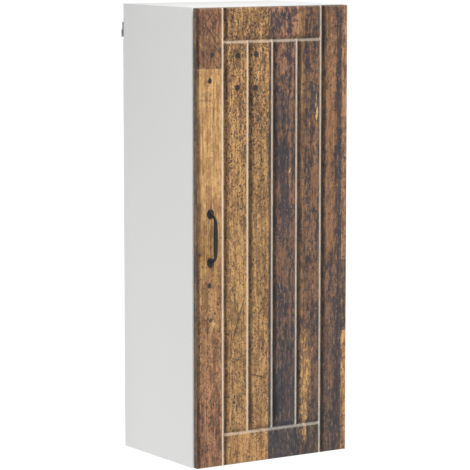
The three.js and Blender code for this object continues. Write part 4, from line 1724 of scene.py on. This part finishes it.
def eased_copy(name: str, node: str, radius: float, *materials: Material) -> Object:
    """Copies a CAD node's shape and breaks its sharp arrises.

    Args:
        name: The new object's name.
        node: The CAD node.
        radius: Radius of the arrises.
        *materials: Materials for the object's slots.

    Returns:
        The new object.
    """
    work = bmesh.new()
    work.from_mesh(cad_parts[node].data)
    bmesh.ops.remove_doubles(work, verts=work.verts[:], dist=0.001 * MM)
    bmesh.ops.dissolve_limit(
        work, angle_limit=math.radians(1.0), verts=work.verts[:], edges=work.edges[:], delimit={"NORMAL"}
    )
    bmesh.ops.recalc_face_normals(work, faces=work.faces[:])
    made = from_bmesh(name, work, *materials)
    for face in made.data.polygons:
        face.material_index = 0
    bevel = made.modifiers.new("arrises", "BEVEL")
    bevel.width = radius
    bevel.segments = 2
    bevel.limit_method = "ANGLE"
    bevel.angle_limit = math.radians(SHARP)
    bevel.use_clamp_overlap = True
    return smooth(flatten(made))


# ---------------------------------------------------------------- the cabinet


@dataclass
class SubAssembly:
    """A group of pieces.

    Attributes:
        finishes: The cabinet's materials.
        copies: The tree that places repeated parts.
    """

    finishes: Finishes
    copies: PlacedCopies


@dataclass
class Carcass(SubAssembly):
    """The white box: four boards, a back panel and two shelves, with their connectors and pins.

    Attributes:
        band: Thickness of the front edging.
        arris: Rounding of the boards' edges.
        hole_radius: Radius of the shelf-pin holes.
        hole_depth: Depth of the shelf-pin holes.
        hole_pitch: Spacing of the shelf-pin holes.
        hole_count: Holes in each row around a shelf.
        notch_width: How far the back's corner notches reach in from the sides' outer faces.
        notch_height: How far they reach down.
        cam_play: How much wider than its cam a bore is, on the radius.
        cam_gap: How much deeper than its cam a bore is.
        slot: Half the length, half the width and the depth of a cam's slots.
        arrow: Lowest and highest corner of the arrow pressed into a cam.
        pin_reach: Half a shelf pin's length, from its collar.
        pin_profile: A shelf pin's radius and run in millimetres, from the shank's end to the peg's.
    """

    band: float = 1.0 * MM
    arris: float = 0.5 * MM
    hole_radius: float = 2.5 * MM
    hole_depth: float = 9.0 * MM
    hole_pitch: float = 32.0 * MM
    hole_count: int = 5
    notch_width: float = 60.0 * MM
    notch_height: float = 79.0 * MM
    cam_play: float = 0.15 * MM
    cam_gap: float = 0.3 * MM
    slot: Point = (5.0 * MM, 0.6 * MM, 1.2 * MM)
    arrow: tuple[Point, Point] = ((5.6 * MM, -0.5 * MM, -0.4 * MM), (6.6 * MM, 0.5 * MM, 1.0 * MM))
    pin_reach: float = 9.0 * MM
    pin_profile: tuple[tuple[float, float], ...] = (
        (0, -9.0), (2.1, -9.0), (2.44, -8.5), (2.44, -1.2), (2.2, -0.6), (2.44, 0.0), (3.8, 0.0), (4.0, 0.2),
        (4.0, 0.8), (3.8, 1.0), (2.7, 1.0), (2.5, 1.2), (2.5, 8.4), (1.9, 9.0), (0, 9.0),
    )

    def board(self, node: str) -> Object:
        """Builds a board without its front edging.

        Args:
            node: The CAD node of the board.

        Returns:
            The board.
        """
        low, high = corners(node)
        low.y += self.band
        return rounded_box(f"{node}_board", low, high, self.arris * 0.5, self.finishes.melamine)

    def edging(self, node: str) -> None:
        """Builds and ships the edging along a board's front.

        Args:
            node: The CAD node of the board.
        """
        low, high = corners(node)
        high.y = low.y + self.band
        made = rounded_box(f"{node}_edging", low, high, self.arris * 0.98, self.finishes.edging, segments=3)
        ship(made, Body.CARCASS, Slot.MELAMINE, node)

    def sides(self) -> None:
        """Builds both side boards with their rows of shelf-pin holes."""
        drill = PinHoleRows()
        for hand in ("left", "right"):
            node = f"side_{hand}"
            made = self.board(node)
            low, high = corners(node)
            front = middle_of(f"shelf_pin_lower_{hand}_front")
            rear = middle_of(f"shelf_pin_lower_{hand}_rear")
            upper = middle_of(f"shelf_pin_upper_{hand}_rear")
            drill.bake(
                made,
                row_run=abs(front.y - rear.y),
                pitch=self.hole_pitch,
                count=self.hole_count,
                centre=(high.x if hand == "left" else low.x, (front.y + rear.y) / 2, rear.z),
                shelf_step=upper.z - rear.z,
                radius=self.hole_radius,
                depth=self.hole_depth,
                finish=self.finishes.melamine,
            )
            ship(smooth(made), Body.CARCASS, Slot.MELAMINE, node)
            self.edging(node)

    def panels(self) -> None:
        """Builds the top and bottom panels and the two loose shelves."""
        for node in ("top_panel", "bottom_panel", "shelf_lower", "shelf_upper"):
            made = self.board(node)
            cutters = []
            for cam in nodes_of(f"cam_{node.split('_')[0]}_"):
                low, high = corners(cam)
                face = Axis.MINUS_Z if node == "top_panel" else Axis.Z
                mouth = (low + high) / 2
                mouth.z = low.z if node == "top_panel" else high.z
                radius = (high.x - low.x) / 2 + self.cam_play
                deep = high.z - low.z + self.cam_gap
                cutters.append(bore(f"{cam}_bore", radius, deep, mouth, face, 28))
            if cutters:
                cut(made, *cutters)
            ship(made, Body.CARCASS, Slot.MELAMINE, node)
            self.edging(node)

    def back(self) -> None:
        """Builds the back panel: lacquered towards the room, raw fibre towards the wall."""
        low, high = corners("back_panel")
        notch = corners("side_right")[1].x - self.notch_width
        drop = corners("side_right")[1].z - self.notch_height
        right = [(low.z, high.x), (drop, high.x), (drop, notch), (high.z, notch)]
        outline = [(low.z, low.x), *right, (high.z, -notch), (drop, -notch), (drop, low.x)]
        made = prism(
            "back_panel_sheet", outline, low.y, high.y, Axis.Y,
            self.finishes.hardboard, self.finishes.raw_board, radius=0.2 * MM,
        )
        for face in made.data.polygons:
            face.material_index = 1 if face.normal.y > 0.5 else 0
        ship(made, Body.CARCASS, Slot.HARDBOARD, "back_panel")

    def cams(self) -> None:
        """Places the eight cam connectors: slotted, flush with the panels they tighten."""
        nodes = sorted(nodes_of("cam_"))
        low, high = corners(nodes[0])
        radius = (high.x - low.x) / 2
        deep = high.z - low.z
        profile = [(0.0, -deep), (radius * 0.9, -deep), (radius * 0.9, -deep * 0.2), (radius, -deep * 0.18)]
        profile += [(radius, -0.3 * MM), (radius - 0.3 * MM, 0.0), (0.0, 0.0)]
        cam = turned("cam_pattern", profile, (0, 0, 0), Axis.Z, self.finishes.zamak)
        reach, wall, sunk = self.slot
        slots = []
        for number, half in enumerate(((reach, wall, sunk), (wall, reach, sunk))):
            size = Vector(half)
            slots.append(rounded_box(f"slot_{number}", -size, size, 0.1 * MM, self.finishes.zamak))
        mark = rounded_box("arrow", *self.arrow, 0.05 * MM)
        cut(cam, *slots, mark)
        spots = []
        for node in nodes:
            low, high = corners(node)
            place = (low + high) / 2
            is_top = "_top_" in node
            place.z = low.z if is_top else high.z
            twist = math.pi if "_left_" in node else 0.0
            spots.append(Spot(tuple(place), Axis.MINUS_Z if is_top else Axis.Z, twist=twist))
        made = spread("cam_connectors", cam, spots, self.finishes.zamak, self.copies)
        ship(made, Body.CARCASS, Slot.ZAMAK, *nodes)

    def pins(self) -> None:
        """Places the eight shelf pins: shank in the side, collar against it, peg under the shelf."""
        nodes = sorted(nodes_of("shelf_pin_"))
        profile = [(r * MM, z * MM) for r, z in self.pin_profile]
        pin = turned("pin_pattern", profile, (0, 0, 0), Axis.Z, self.finishes.nickel, sides=24)
        spots = []
        for node in nodes:
            low, high = corners(node)
            place = (low + high) / 2
            is_left = "_left_" in node
            place.x = low.x + self.pin_reach if is_left else high.x - self.pin_reach
            spots.append(Spot(tuple(place), Axis.X if is_left else Axis.MINUS_X))
        made = spread("shelf_pins", pin, spots, self.finishes.nickel, self.copies)
        ship(made, Body.CARCASS, Slot.NICKEL, *nodes)

    def build(self) -> None:
        """Builds everything in order."""
        self.sides()
        self.panels()
        self.back()
        self.cams()
        self.pins()


@dataclass
class Hangers(SubAssembly):
    """The two wall hangers in the top corners: housing, hook, depth screw and fixing screws.

    Attributes:
        ease: Rounding of the housing's arrises.
        hook_ease: Rounding of the hook's arrises.
        adjuster_head: Height of a depth screw's head.
        adjuster_shank: Radius of its thread.
        adjuster_pitch: Pitch of its thread.
        screw: The screw that fixes a housing to a side.
    """

    ease: float = 0.5 * MM
    hook_ease: float = 0.4 * MM
    adjuster_head: float = 3.0 * MM
    adjuster_shank: float = 2.5 * MM
    adjuster_pitch: float = 1.0 * MM
    screw: CrossScrew = CrossScrew(3.4 * MM, 1.6 * MM, 1.75 * MM, 11 * MM)

    def housings(self) -> None:
        """Builds the moulded housings."""
        for hand in ("left", "right"):
            node = f"hanger_body_{hand}"
            made = eased_copy(f"{node}_case", node, self.ease, self.finishes.plastic)
            ship(made, Body.CARCASS, Slot.PLASTIC, node)

    def hooks(self) -> None:
        """Builds the stamped hooks that drop over the wall rail."""
        for hand, body in (("left", Body.HOOK_LEFT), ("right", Body.HOOK_RIGHT)):
            node = f"hanger_hook_{hand}"
            made = eased_copy(f"{node}_bent", node, self.hook_ease, self.finishes.zinc)
            ship(made, body, Slot.ZINC, node)

    def adjusters(self) -> None:
        """Builds the two depth screws, each on its own body."""
        head = self.adjuster_head
        for hand, body in (("left", Body.ADJUSTER_LEFT), ("right", Body.ADJUSTER_RIGHT)):
            node = f"hanger_adjuster_{hand}"
            low, high = corners(node)
            radius = (high.x - low.x) / 2
            length = high.y - low.y - head
            screw = CrossScrew(radius, head, self.adjuster_shank, length, self.adjuster_pitch)
            pattern = screw.build("adjuster_pattern", self.finishes.zinc)
            spots = [Spot(seat(node, Axis.MINUS_Y, head), Axis.MINUS_Y)]
            made = spread(f"{node}_screw", pattern, spots, self.finishes.zinc, self.copies)
            ship(made, body, Slot.ZINC, node)

    def screws(self) -> None:
        """Places the four screws that hold the housings to the sides."""
        nodes = sorted(nodes_of("hanger_screw_"))
        pattern = self.screw.build("hanger_screw_pattern", self.finishes.zinc)
        spots = []
        for number, node in enumerate(nodes):
            axis = Axis.X if "_left_" in node else Axis.MINUS_X
            spots.append(Spot(seat(node, axis, self.screw.head_height), axis, twist=0.7 + number))
        made = spread("hanger_screws", pattern, spots, self.finishes.zinc, self.copies)
        ship(made, Body.CARCASS, Slot.ZINC, *nodes)

    def build(self) -> None:
        """Builds everything in order."""
        self.housings()
        self.hooks()
        self.adjusters()
        self.screws()


@dataclass
class DoorLeaf:
    """The door leaf: routed board wrapped in old-wood foil, white at the back.

    Attributes:
        finishes: The cabinet's materials.
        first_groove: x of the first groove's centre line.
        pitch: Distance from groove to groove.
        last_number: Number of the last groove, counted from zero.
        groove_half: Half a groove's width.
        groove_depth: A groove's depth.
        cross_height: Height of the cross grooves' centre lines above and below the middle.
        arris: Radius of the front arris.
        back_arris: Size of the chamfer at the back.
        cell: Widest mesh cell on the front.
        cross_share: How strongly the painted shade and painted highlight show in the
        cross grooves.
        cup_x: x of the cup pockets' centre line.
        cup_radius: Radius of a cup pocket.
        cup_depth: Depth of a cup pocket.
        screw_radius: Radius of a cup screw's pilot hole.
        screw_depth: Depth of a cup screw's pilot hole.
        edge_lines: Where mesh lines follow an edge, as shares of the arris.
        groove_lines: Where mesh lines follow a groove, as shares of its half width.
    """

    finishes: Finishes
    first_groove: float = -129.0 * MM
    pitch: float = 63.9 * MM
    last_number: int = 4
    groove_half: float = 8.0 * MM
    groove_depth: float = 4.0 * MM
    cross_height: float = 427.5 * MM
    arris: float = 4.5 * MM
    back_arris: float = 0.6 * MM
    cell: float = 12.0 * MM
    cross_share: float = 0.47
    cup_x: float = 174.5 * MM
    cup_radius: float = 17.75 * MM
    cup_depth: float = 13.7 * MM
    screw_radius: float = 1.4 * MM
    screw_depth: float = 10.0 * MM
    edge_lines: Sequence[float] = (0.0, 0.04, 0.15, 0.35, 0.65, 1.0, 1.45)
    groove_lines: Sequence[float] = (
        -1.0, -0.8, -0.6, -0.4, -0.2, -0.06, 0.06, 0.2, 0.32, 0.5, 0.7, 1.0, 1.3, 1.6,
    )

    def lines(
        self, low: float, high: float, grooves: Sequence[float], seams: Sequence[float]
    ) -> list[float]:
        """Chooses where the front's mesh lines run: close together at grooves and edges.

        Args:
            low: Lowest line.
            high: Highest line.
            grooves: Centre lines of grooves.
            seams: Places where boards meet.

        Returns:
            The lines in order.
        """
        marks = set()
        for share in self.edge_lines:
            marks |= {low + self.arris * share, high - self.arris * share}
        for groove in grooves:
            marks |= {groove + self.groove_half * share for share in self.groove_lines}
        near = [s for s in seams if all(abs(s - m) > 0.3 * MM for m in marks)]
        ordered = sorted(marks | set(near))
        full = [ordered[0]]
        for here in ordered[1:]:
            gap = here - full[-1]
            pieces = max(1, math.ceil(gap / self.cell))
            start = full[-1]
            full += [start + gap * k / pieces for k in range(1, pieces + 1)]
        return full

    def blank(self) -> Object:
        """Builds the leaf before routing: a closed body with a fine lattice on its front.

        Returns:
            The blank.
        """
        low, high = corners("door_leaf")
        grooves = [self.first_groove + k * self.pitch for k in range(self.last_number + 1)]
        seams_x = sorted({e * MM for b in BOARDS for e in b.span if low.x < e * MM < high.x})
        seams_z = sorted({e * MM for b in BOARDS for e in b.rise if low.z < e * MM < high.z})
        across = self.lines(low.x, high.x, grooves, seams_x)
        upward = self.lines(low.z, high.z, (-self.cross_height, self.cross_height), seams_z)
        columns = len(across)
        rows = len(upward)
        points = [(x, low.y, z) for z in upward for x in across]
        faces = []
        for r in range(rows - 1):
            for c in range(columns - 1):
                start = r * columns + c
                faces.append((start, start + 1, start + columns + 1, start + columns))
        rim = [c for c in range(columns)]
        rim += [r * columns + columns - 1 for r in range(1, rows)]
        rim += [(rows - 1) * columns + c for c in range(columns - 2, -1, -1)]
        rim += [r * columns for r in range(rows - 2, 0, -1)]
        count = len(rim)
        previous = rim
        chamfer = self.back_arris
        depth = high.y - low.y
        rings = ((depth * 0.35, 0.0), (depth * 0.7, 0.0), (depth - chamfer, 0.0), (depth, chamfer))
        for run, inset in rings:
            first = len(points)
            for number in rim:
                x, _, z = points[number]
                x = min(max(x, low.x + inset), high.x - inset)
                z = min(max(z, low.z + inset), high.z - inset)
                points.append((x, low.y + run, z))
            ring = list(range(first, first + count))
            for k in range(count):
                after = (k + 1) % count
                faces.append((previous[after], previous[k], ring[k], ring[after]))
            previous = ring
        faces.append(tuple(reversed(previous)))
        made = mesh_object("door_leaf_wrapped", points, faces, (self.finishes.foil, self.finishes.melamine))
        work = bmesh.new()
        work.from_mesh(made.data)
        bmesh.ops.remove_doubles(work, verts=work.verts[:], dist=0.0001 * MM)
        bmesh.ops.recalc_face_normals(work, faces=work.faces[:])
        work.to_mesh(made.data)
        work.free()
        return made

    def pockets(self) -> list[Object]:
        """Builds the bodies that bore the cup pockets and pilot holes into the back.

        Returns:
            The cutters.
        """
        back = corners("door_leaf")[1].y
        cutters = []
        for which in ("lower", "upper"):
            low, high = corners(f"hinge_pin_{which}")
            mouth = (self.cup_x, back, (low.z + high.z) / 2)
            cutters.append(bore(f"cup_bore_{which}", self.cup_radius, self.cup_depth, mouth, Axis.Y, 64))
        for node in nodes_of("cup_screw_"):
            middle = middle_of(node)
            mouth = (middle.x, back, middle.z)
            cutters.append(bore(f"{node}_bore", self.screw_radius, self.screw_depth, mouth, Axis.Y, 16))
        return cutters

    def tint(self, made: Object) -> None:
        """Gives every face of the leaf the colours of the board it lies on.

        Args:
            made: The routed leaf.
        """
        mesh = made.data
        low, high = corners("door_leaf")
        loops = len(mesh.loops)
        lights = [0.0] * (4 * loops)
        darks = [0.0] * (4 * loops)
        wears = [0.0] * (4 * loops)
        for face in mesh.polygons:
            x, y, z = (c / MM for c in face.center)
            is_edge = y > low.y / MM + self.arris / MM + 0.5 and abs(face.normal.y) < 0.7
            face.material_index = 1 if face.normal.y > 0.9 and y > high.y / MM - 1 else 0
            board = EDGE_BOARD
            if not is_edge:
                board = next((b for b in BOARDS if b.holds(x, z)), EDGE_BOARD)
            for loop in face.loop_indices:
                height = mesh.vertices[mesh.loops[loop].vertex_index].co.z / MM
                light, dark, speckle = board.look(height)
                lights[4 * loop : 4 * loop + 4] = light
                darks[4 * loop : 4 * loop + 4] = dark
                wears[4 * loop : 4 * loop + 4] = (speckle, board.seed / 10, board.char, board.strokes)
        for label, values in (("board_light", lights), ("board_dark", darks), ("board_wear", wears)):
            layer = mesh.color_attributes.new(label, "FLOAT_COLOR", "CORNER")
            layer.data.foreach_set("color", values)

    def build(self) -> None:
        """Builds, bores, routes and tints the leaf."""
        low, high = corners("door_leaf")
        made = cut(self.blank(), *self.pockets())
        GroovedFront().bake(
            made,
            first_groove=self.first_groove,
            pitch=self.pitch,
            last_number=float(self.last_number),
            half_width=self.groove_half,
            depth=self.groove_depth,
            cross_height=self.cross_height,
            front_plane=low.y,
            half_leaf_width=high.x,
            half_leaf_height=high.z,
            arris_radius=self.arris,
            cross_share=self.cross_share,
            finish=self.finishes.foil,
        )
        made.data.materials.clear()
        made.data.materials.append(self.finishes.foil)
        made.data.materials.append(self.finishes.melamine)
        self.tint(made)
        ship(smooth(made, 40), Body.DOOR, Slot.FOIL, "door_leaf")


@dataclass
class Handle(SubAssembly):
    """The cast pull: two domed bosses joined by a faceted, tapering bar on bent necks.

    Attributes:
        sides: Facets around the bar.
        steps: Sections from station to station.
        boss_width: Width of a boss.
        boss_height: Height of a boss.
        boss_rise: How far a boss stands off the door.
        boss_foot: Gap between a boss's foot and the door.
        boss_taper: How much narrower a boss is at its outer end.
        boss_profile: A boss's dome, as shares of its half width and its rise.
        slim: Width of the bar's section as a share of its station's width.
        bar_arris: Rounding of the bar's long edges.
        stations: The upper half of the bar from the boss to the middle, in millimetres: height,
            distance from the door, width and thickness.
        screw: The screw that holds a boss from behind the door.
        bumper_profile: A bumper's dome, as shares of its radius and its rise.
    """

    sides: int = 8
    steps: int = 4
    boss_width: float = 17.0 * MM
    boss_height: float = 22.0 * MM
    boss_rise: float = 5.5 * MM
    boss_foot: float = 0.12 * MM
    boss_taper: float = 0.10
    boss_profile: tuple[tuple[float, float], ...] = (
        (0.97, 0.1), (1.0, 0.26), (0.97, 0.5), (0.86, 0.72), (0.66, 0.88), (0.38, 0.97),
    )
    slim: float = 0.96
    bar_arris: float = 0.35 * MM
    stations: tuple[tuple[float, float, float, float], ...] = (
        (56.5, 1.5, 8.6, 7.0),
        (54.0, 5.2, 8.2, 6.6),
        (51.0, 8.8, 7.0, 5.8),
        (48.6, 12.4, 6.4, 5.4),
        (46.4, 16.2, 6.2, 5.3),
        (43.2, 19.4, 6.6, 5.4),
        (38.6, 21.0, 7.4, 5.6),
        (32.0, 21.6, 8.4, 5.8),
        (20.0, 21.9, 9.8, 6.0),
        (8.0, 22.0, 10.8, 6.0),
        (0.0, 22.0, 11.0, 6.0),
    )
    screw: CrossScrew = CrossScrew(4.2 * MM, 2.2 * MM, 2.0 * MM, 22 * MM, 0.8 * MM)
    bumper_profile: tuple[tuple[float, float], ...] = (
        (0.0, 0.0), (0.97, 0.0), (1.0, 0.12), (0.98, 0.35),
        (0.88, 0.68), (0.66, 0.9), (0.35, 0.98), (0.0, 1.0),
    )

    def boss(self, name: str, middle: Vector) -> Object:
        """Builds one domed boss.

        Args:
            name: The object's name.
            middle: The middle of its foot on the door.

        Returns:
            The boss.
        """
        profile = [(0.0, self.boss_foot), (0.9, self.boss_foot)]
        profile += [(width, height * self.boss_rise) for width, height in self.boss_profile]
        profile.append((0.0, self.boss_rise))
        made = turned(name, profile, (0, 0, 0), Axis.MINUS_Y, self.finishes.casting, sides=28)
        outward = -1 if middle.z > 0 else 1
        for vertex in made.data.vertices:
            x, y, z = vertex.co
            taper = 1.0 + self.boss_taper * z * outward
            vertex.co = (
                middle.x + x * self.boss_width / 2 * taper,
                middle.y + y,
                middle.z + z * self.boss_height / 2,
            )
        return made

    def sections(self) -> list[tuple[float, ...]]:
        """Runs a smooth curve through the stations of both halves.

        Returns:
            The bar's sections from end to end, in the stations' form.
        """
        full = list(self.stations)
        full += [(-z, off, w, t) for z, off, w, t in reversed(self.stations[:-1])]
        fine: list[tuple[float, ...]] = []
        for k in range(len(full) - 1):
            knots = [full[min(max(k + j, 0), len(full) - 1)] for j in (-1, 0, 1, 2)]
            for step in range(self.steps):
                t = step / self.steps
                row = []
                for a, b, c, d in zip(*knots):
                    bend = (2 * a - 5 * b + 4 * c - d) * t**2
                    swing = (3 * b - a - 3 * c + d) * t**3
                    row.append(0.5 * (2 * b + (c - a) * t + bend + swing))
                fine.append(tuple(row))
        fine.append(full[-1])
        return fine

    def bar(self, middle: Vector) -> Object:
        """Builds the bar and its necks by sweeping a faceted section along the stations.

        Args:
            middle: The middle of the handle on the door's face.

        Returns:
            The bar.
        """
        fine = self.sections()
        count = self.sides
        flat = 1 / math.cos(math.pi / count)
        sideways = Vector((1, 0, 0))
        points = []
        for k, (z, off, width, thick) in enumerate(fine):
            before = fine[max(k - 1, 0)]
            after = fine[min(k + 1, len(fine) - 1)]
            along = Vector((0, -(after[1] - before[1]), after[0] - before[0])).normalized()
            out = sideways.cross(along).normalized()
            if along.z > 0:
                out = -out
            centre = Vector((middle.x, middle.y - off * MM, middle.z + z * MM))
            for side in range(count):
                angle = math.pi * (2 * side + 1) / count
                u = math.cos(angle) * width / 2 * MM * (flat * self.slim)
                v = math.sin(angle) * thick / 2 * MM * flat
                points.append(centre + sideways * u + out * v)
        rows = len(fine)
        faces = []
        for r in range(rows - 1):
            for s in range(count):
                after = (s + 1) % count
                start = r * count
                faces.append((start + s, start + after, start + count + after, start + count + s))
        faces.append(tuple(range(count)))
        faces.append(tuple((rows - 1) * count + s for s in reversed(range(count))))
        made = mesh_object("bar", points, faces, (self.finishes.casting,))
        work = bmesh.new()
        work.from_mesh(made.data)
        bmesh.ops.recalc_face_normals(work, faces=work.faces[:])
        long_edges = [e for e in work.edges if len({v.index % count for v in e.verts}) == 1]
        round_edges(work, long_edges, self.bar_arris)
        work.to_mesh(made.data)
        work.free()
        return made

    def pull(self) -> None:
        """Joins bar and bosses into one casting."""
        low, high = corners("handle")
        front = corners("door_leaf")[0].y
        middle = Vector(((low.x + high.x) / 2, front, (low.z + high.z) / 2))
        made = self.bar(middle)
        made.name = "handle_pull"
        spacing = (high.z - low.z - self.boss_height) / 2
        for way in (-1, 1):
            boss = self.boss(f"boss_{way}", middle + Vector((0, 0, way * spacing)))
            combine(made, "UNION", boss)
        ship(smooth(made, 30), Body.DOOR, Slot.CAST_BLACK, "handle")

    def screws(self) -> None:
        """Places the two screws that come through the door from behind."""
        nodes = ("handle_screw_1", "handle_screw_2")
        pattern = self.screw.build("handle_screw_pattern", self.finishes.zinc)
        spots = []
        for number, node in enumerate(nodes):
            place = seat(node, Axis.Y, self.screw.head_height)
            spots.append(Spot(place, Axis.Y, twist=0.4 + number))
        made = spread("handle_screws", pattern, spots, self.finishes.zinc, self.copies)
        ship(made, Body.DOOR, Slot.ZINC, *nodes)

    def bumpers(self) -> None:
        """Places the two soft buttons that the door closes on."""
        nodes = ("bumper_lower", "bumper_upper")
        low, high = corners(nodes[0])
        radius = (high.x - low.x) / 2
        rise = high.y - low.y
        profile = [(width * radius, height * rise) for width, height in self.bumper_profile]
        pattern = turned("bumper_pattern", profile, (0, 0, 0), Axis.Z, self.finishes.silicone, sides=28)
        spots = [Spot(seat(node, Axis.Y, rise), Axis.Y) for node in nodes]
        made = spread("door_bumpers", pattern, spots, self.finishes.silicone, self.copies)
        ship(made, Body.DOOR, Slot.SILICONE, *nodes)

    def build(self) -> None:
        """Builds everything in order."""
        self.pull()
        self.screws()
        self.bumpers()


@dataclass
class Hinges(SubAssembly):
    """The two cup hinges: cup and pin on the door, arm and plate on the side.

    Attributes:
        ease: Rounding of the pressed parts' arrises.
        fine_pitch: Thread pitch of the arm and side-adjusting screws.
    """

    ease: float = 0.25 * MM
    fine_pitch: float = 0.7 * MM

    def pressings(self) -> None:
        """Builds cups, pins, arms and plates from the CAD shapes with eased arrises."""
        bodies = {
            "hinge_cup": Body.DOOR,
            "hinge_pin": Body.DOOR,
            "hinge_arm": Body.CARCASS,
            "hinge_plate": Body.CARCASS,
        }
        for which in ("lower", "upper"):
            for part, body in bodies.items():
                node = f"{part}_{which}"
                made = eased_copy(f"{node}_pressed", node, self.ease, self.finishes.nickel)
                ship(made, body, Slot.NICKEL, node)

    def screw(
        self, kind: str, head: float, shank: float, axis: Axis, body: Body, pitch: float = CrossScrew.pitch
    ) -> None:
        """Places every hinge screw of one kind, as one mesh.

        Args:
            kind: How the names of its CAD nodes start.
            head: Height of its head.
            shank: Outer radius of its thread.
            axis: The axis that its head faces.
            body: The body it rides on.
            pitch: Distance from thread to thread.
        """
        nodes = sorted(nodes_of(f"{kind}_"))
        low, high = corners(nodes[0])
        run = abs((high - low).dot(axis.vector))
        fitted = CrossScrew((high.z - low.z) / 2, head, shank, run - head, pitch)
        pattern = fitted.build(f"{kind}_pattern", self.finishes.nickel)
        spots = []
        for number, node in enumerate(nodes):
            spots.append(Spot(seat(node, axis, head), axis, twist=0.3 + 1.1 * number))
        made = spread(f"{kind}s", pattern, spots, self.finishes.nickel, self.copies)
        ship(made, body, Slot.NICKEL, *nodes)

    def build(self) -> None:
        """Builds everything in order."""
        self.pressings()
        inward = Axis.MINUS_X
        self.screw("cup_screw", 1.3 * MM, 1.6 * MM, Axis.Y, Body.DOOR)
        self.screw("plate_screw", 1.4 * MM, 2.2 * MM, inward, Body.CARCASS)
        self.screw("arm_screw", 1.8 * MM, 1.6 * MM, inward, Body.CARCASS, self.fine_pitch)
        self.screw("side_screw", 1.2 * MM, 1.5 * MM, inward, Body.CARCASS, self.fine_pitch)


# ---------------------------------------------------------------- the studio


@dataclass(frozen=True)
class Studio:
    """A pale floor, soft light and the camera.

    Attributes:
        floor_height: Height of the floor below the hanging cabinet.
        floor_reach: How far the floor reaches each way.
        floor_colours: The floor's two whites.
        sky: Brightness of the even light from all round.
        sun: Strength of the broad light from the upper right.
        sun_way: The direction towards it.
        sun_spread: How broad it is, in degrees.
        panel: Power of the panel behind the right side, in watts.
        panel_size: Its width and height.
        panel_place: Where it stands.
        panel_way: The direction that its back faces.
        lens: Focal length in millimetres.
        sensor: Width of the sensor in millimetres.
        camera_place: Where the camera stands.
        camera_turn: Its turn about the upright axis, in degrees.
        camera_fall: How far it looks down, in degrees.
    """

    floor_height: float = -1.9
    floor_reach: float = 150.0
    floor_colours: tuple[str, str] = ("#f6f6f6", "#f8f8f8")
    sky: float = 0.412
    sun: float = 2.74
    sun_way: Point = (0.3, -0.379, 0.876)
    sun_spread: float = 70.0
    panel: float = 6.0
    panel_size: tuple[float, float] = (1.2, 2.4)
    panel_place: Point = (3.6, 2.2, -0.3)
    panel_way: Point = (3.6, 2.4, -0.3)
    lens: float = 195.3
    sensor: float = 36.0
    camera_place: Point = (-3.0801, -4.9054, 0.6993)
    camera_turn: float = -32.953
    camera_fall: float = 7.197

    def floor(self) -> None:
        """Lays a wide pale floor."""
        reach = self.floor_reach
        square = [(-reach, -reach, 0), (reach, -reach, 0), (reach, reach, 0), (-reach, reach, 0)]
        floor = mesh_object("studio_floor", square, [(0, 1, 2, 3)])
        floor.location.z = self.floor_height
        shader = Shader("studio_floor_painted")
        cloud = shader.pattern((900, 900, 900), 2.0)
        first, second = (srgb(c) for c in self.floor_colours)
        shader.feed("Base Color", shader.add(MIX, {0: cloud, 6: first, 7: second}, **COLOURS))
        shader.main.inputs["Roughness"].default_value = 0.9
        floor.data.materials.append(shader.material)

    def light(self, name: str, kind: str, power: float, way: Point) -> Object:
        """Adds a light at the origin.

        Args:
            name: The light's name.
            kind: SUN or AREA.
            power: Its strength.
            way: The direction that its back faces.

        Returns:
            The light's object.
        """
        lamp = bpy.data.lights.new(name, kind)
        lamp.energy = power
        held = bpy.data.objects.new(name, lamp)
        held.rotation_euler = Vector(way).to_track_quat("Z", "Y").to_euler()
        bpy.context.scene.collection.objects.link(held)
        return held

    def lights(self) -> None:
        """Sets an even sky, a broad sun and a bright panel behind the right side."""
        scene = bpy.context.scene
        scene.world = bpy.data.worlds.new("studio_sky")
        scene.world.use_nodes = True
        sky = scene.world.node_tree.nodes["Background"]
        sky.inputs["Color"].default_value = (1.0, 1.0, 1.0, 1.0)
        sky.inputs["Strength"].default_value = self.sky
        sun = self.light("broad_sun", "SUN", self.sun, self.sun_way)
        sun.data.angle = math.radians(self.sun_spread)
        panel = self.light("right_panel", "AREA", self.panel, self.panel_way)
        panel.data.shape = "RECTANGLE"
        panel.data.size, panel.data.size_y = self.panel_size
        panel.location = self.panel_place

    def camera(self) -> None:
        """Places the camera."""
        lens = bpy.data.cameras.new("camera")
        lens.lens = self.lens
        lens.sensor_width = self.sensor
        lens.clip_end = 500.0
        held = bpy.data.objects.new("camera", lens)
        held.location = self.camera_place
        held.rotation_euler = (math.radians(90 - self.camera_fall), 0, math.radians(self.camera_turn))
        bpy.context.scene.collection.objects.link(held)
        bpy.context.scene.camera = held
        bpy.context.scene.view_settings.view_transform = "Standard"

    def build(self) -> None:
        """Builds everything in order."""
        self.floor()
        self.lights()
        self.camera()


def write_sizes() -> None:
    """Brings the view layer up to date."""
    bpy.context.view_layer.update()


def main() -> None:
    """Builds the cabinet and the studio in order."""
    logging.basicConfig(level=logging.INFO, format="%(name)s %(message)s")
    finishes = Finishes.build()
    copies = PlacedCopies()
    Studio().build()
    Carcass(finishes, copies).build()
    Hangers(finishes, copies).build()
    DoorLeaf(finishes).build()
    Handle(finishes, copies).build()
    Hinges(finishes, copies).build()
    write_sizes()


if __name__ == "__main__":
    main()
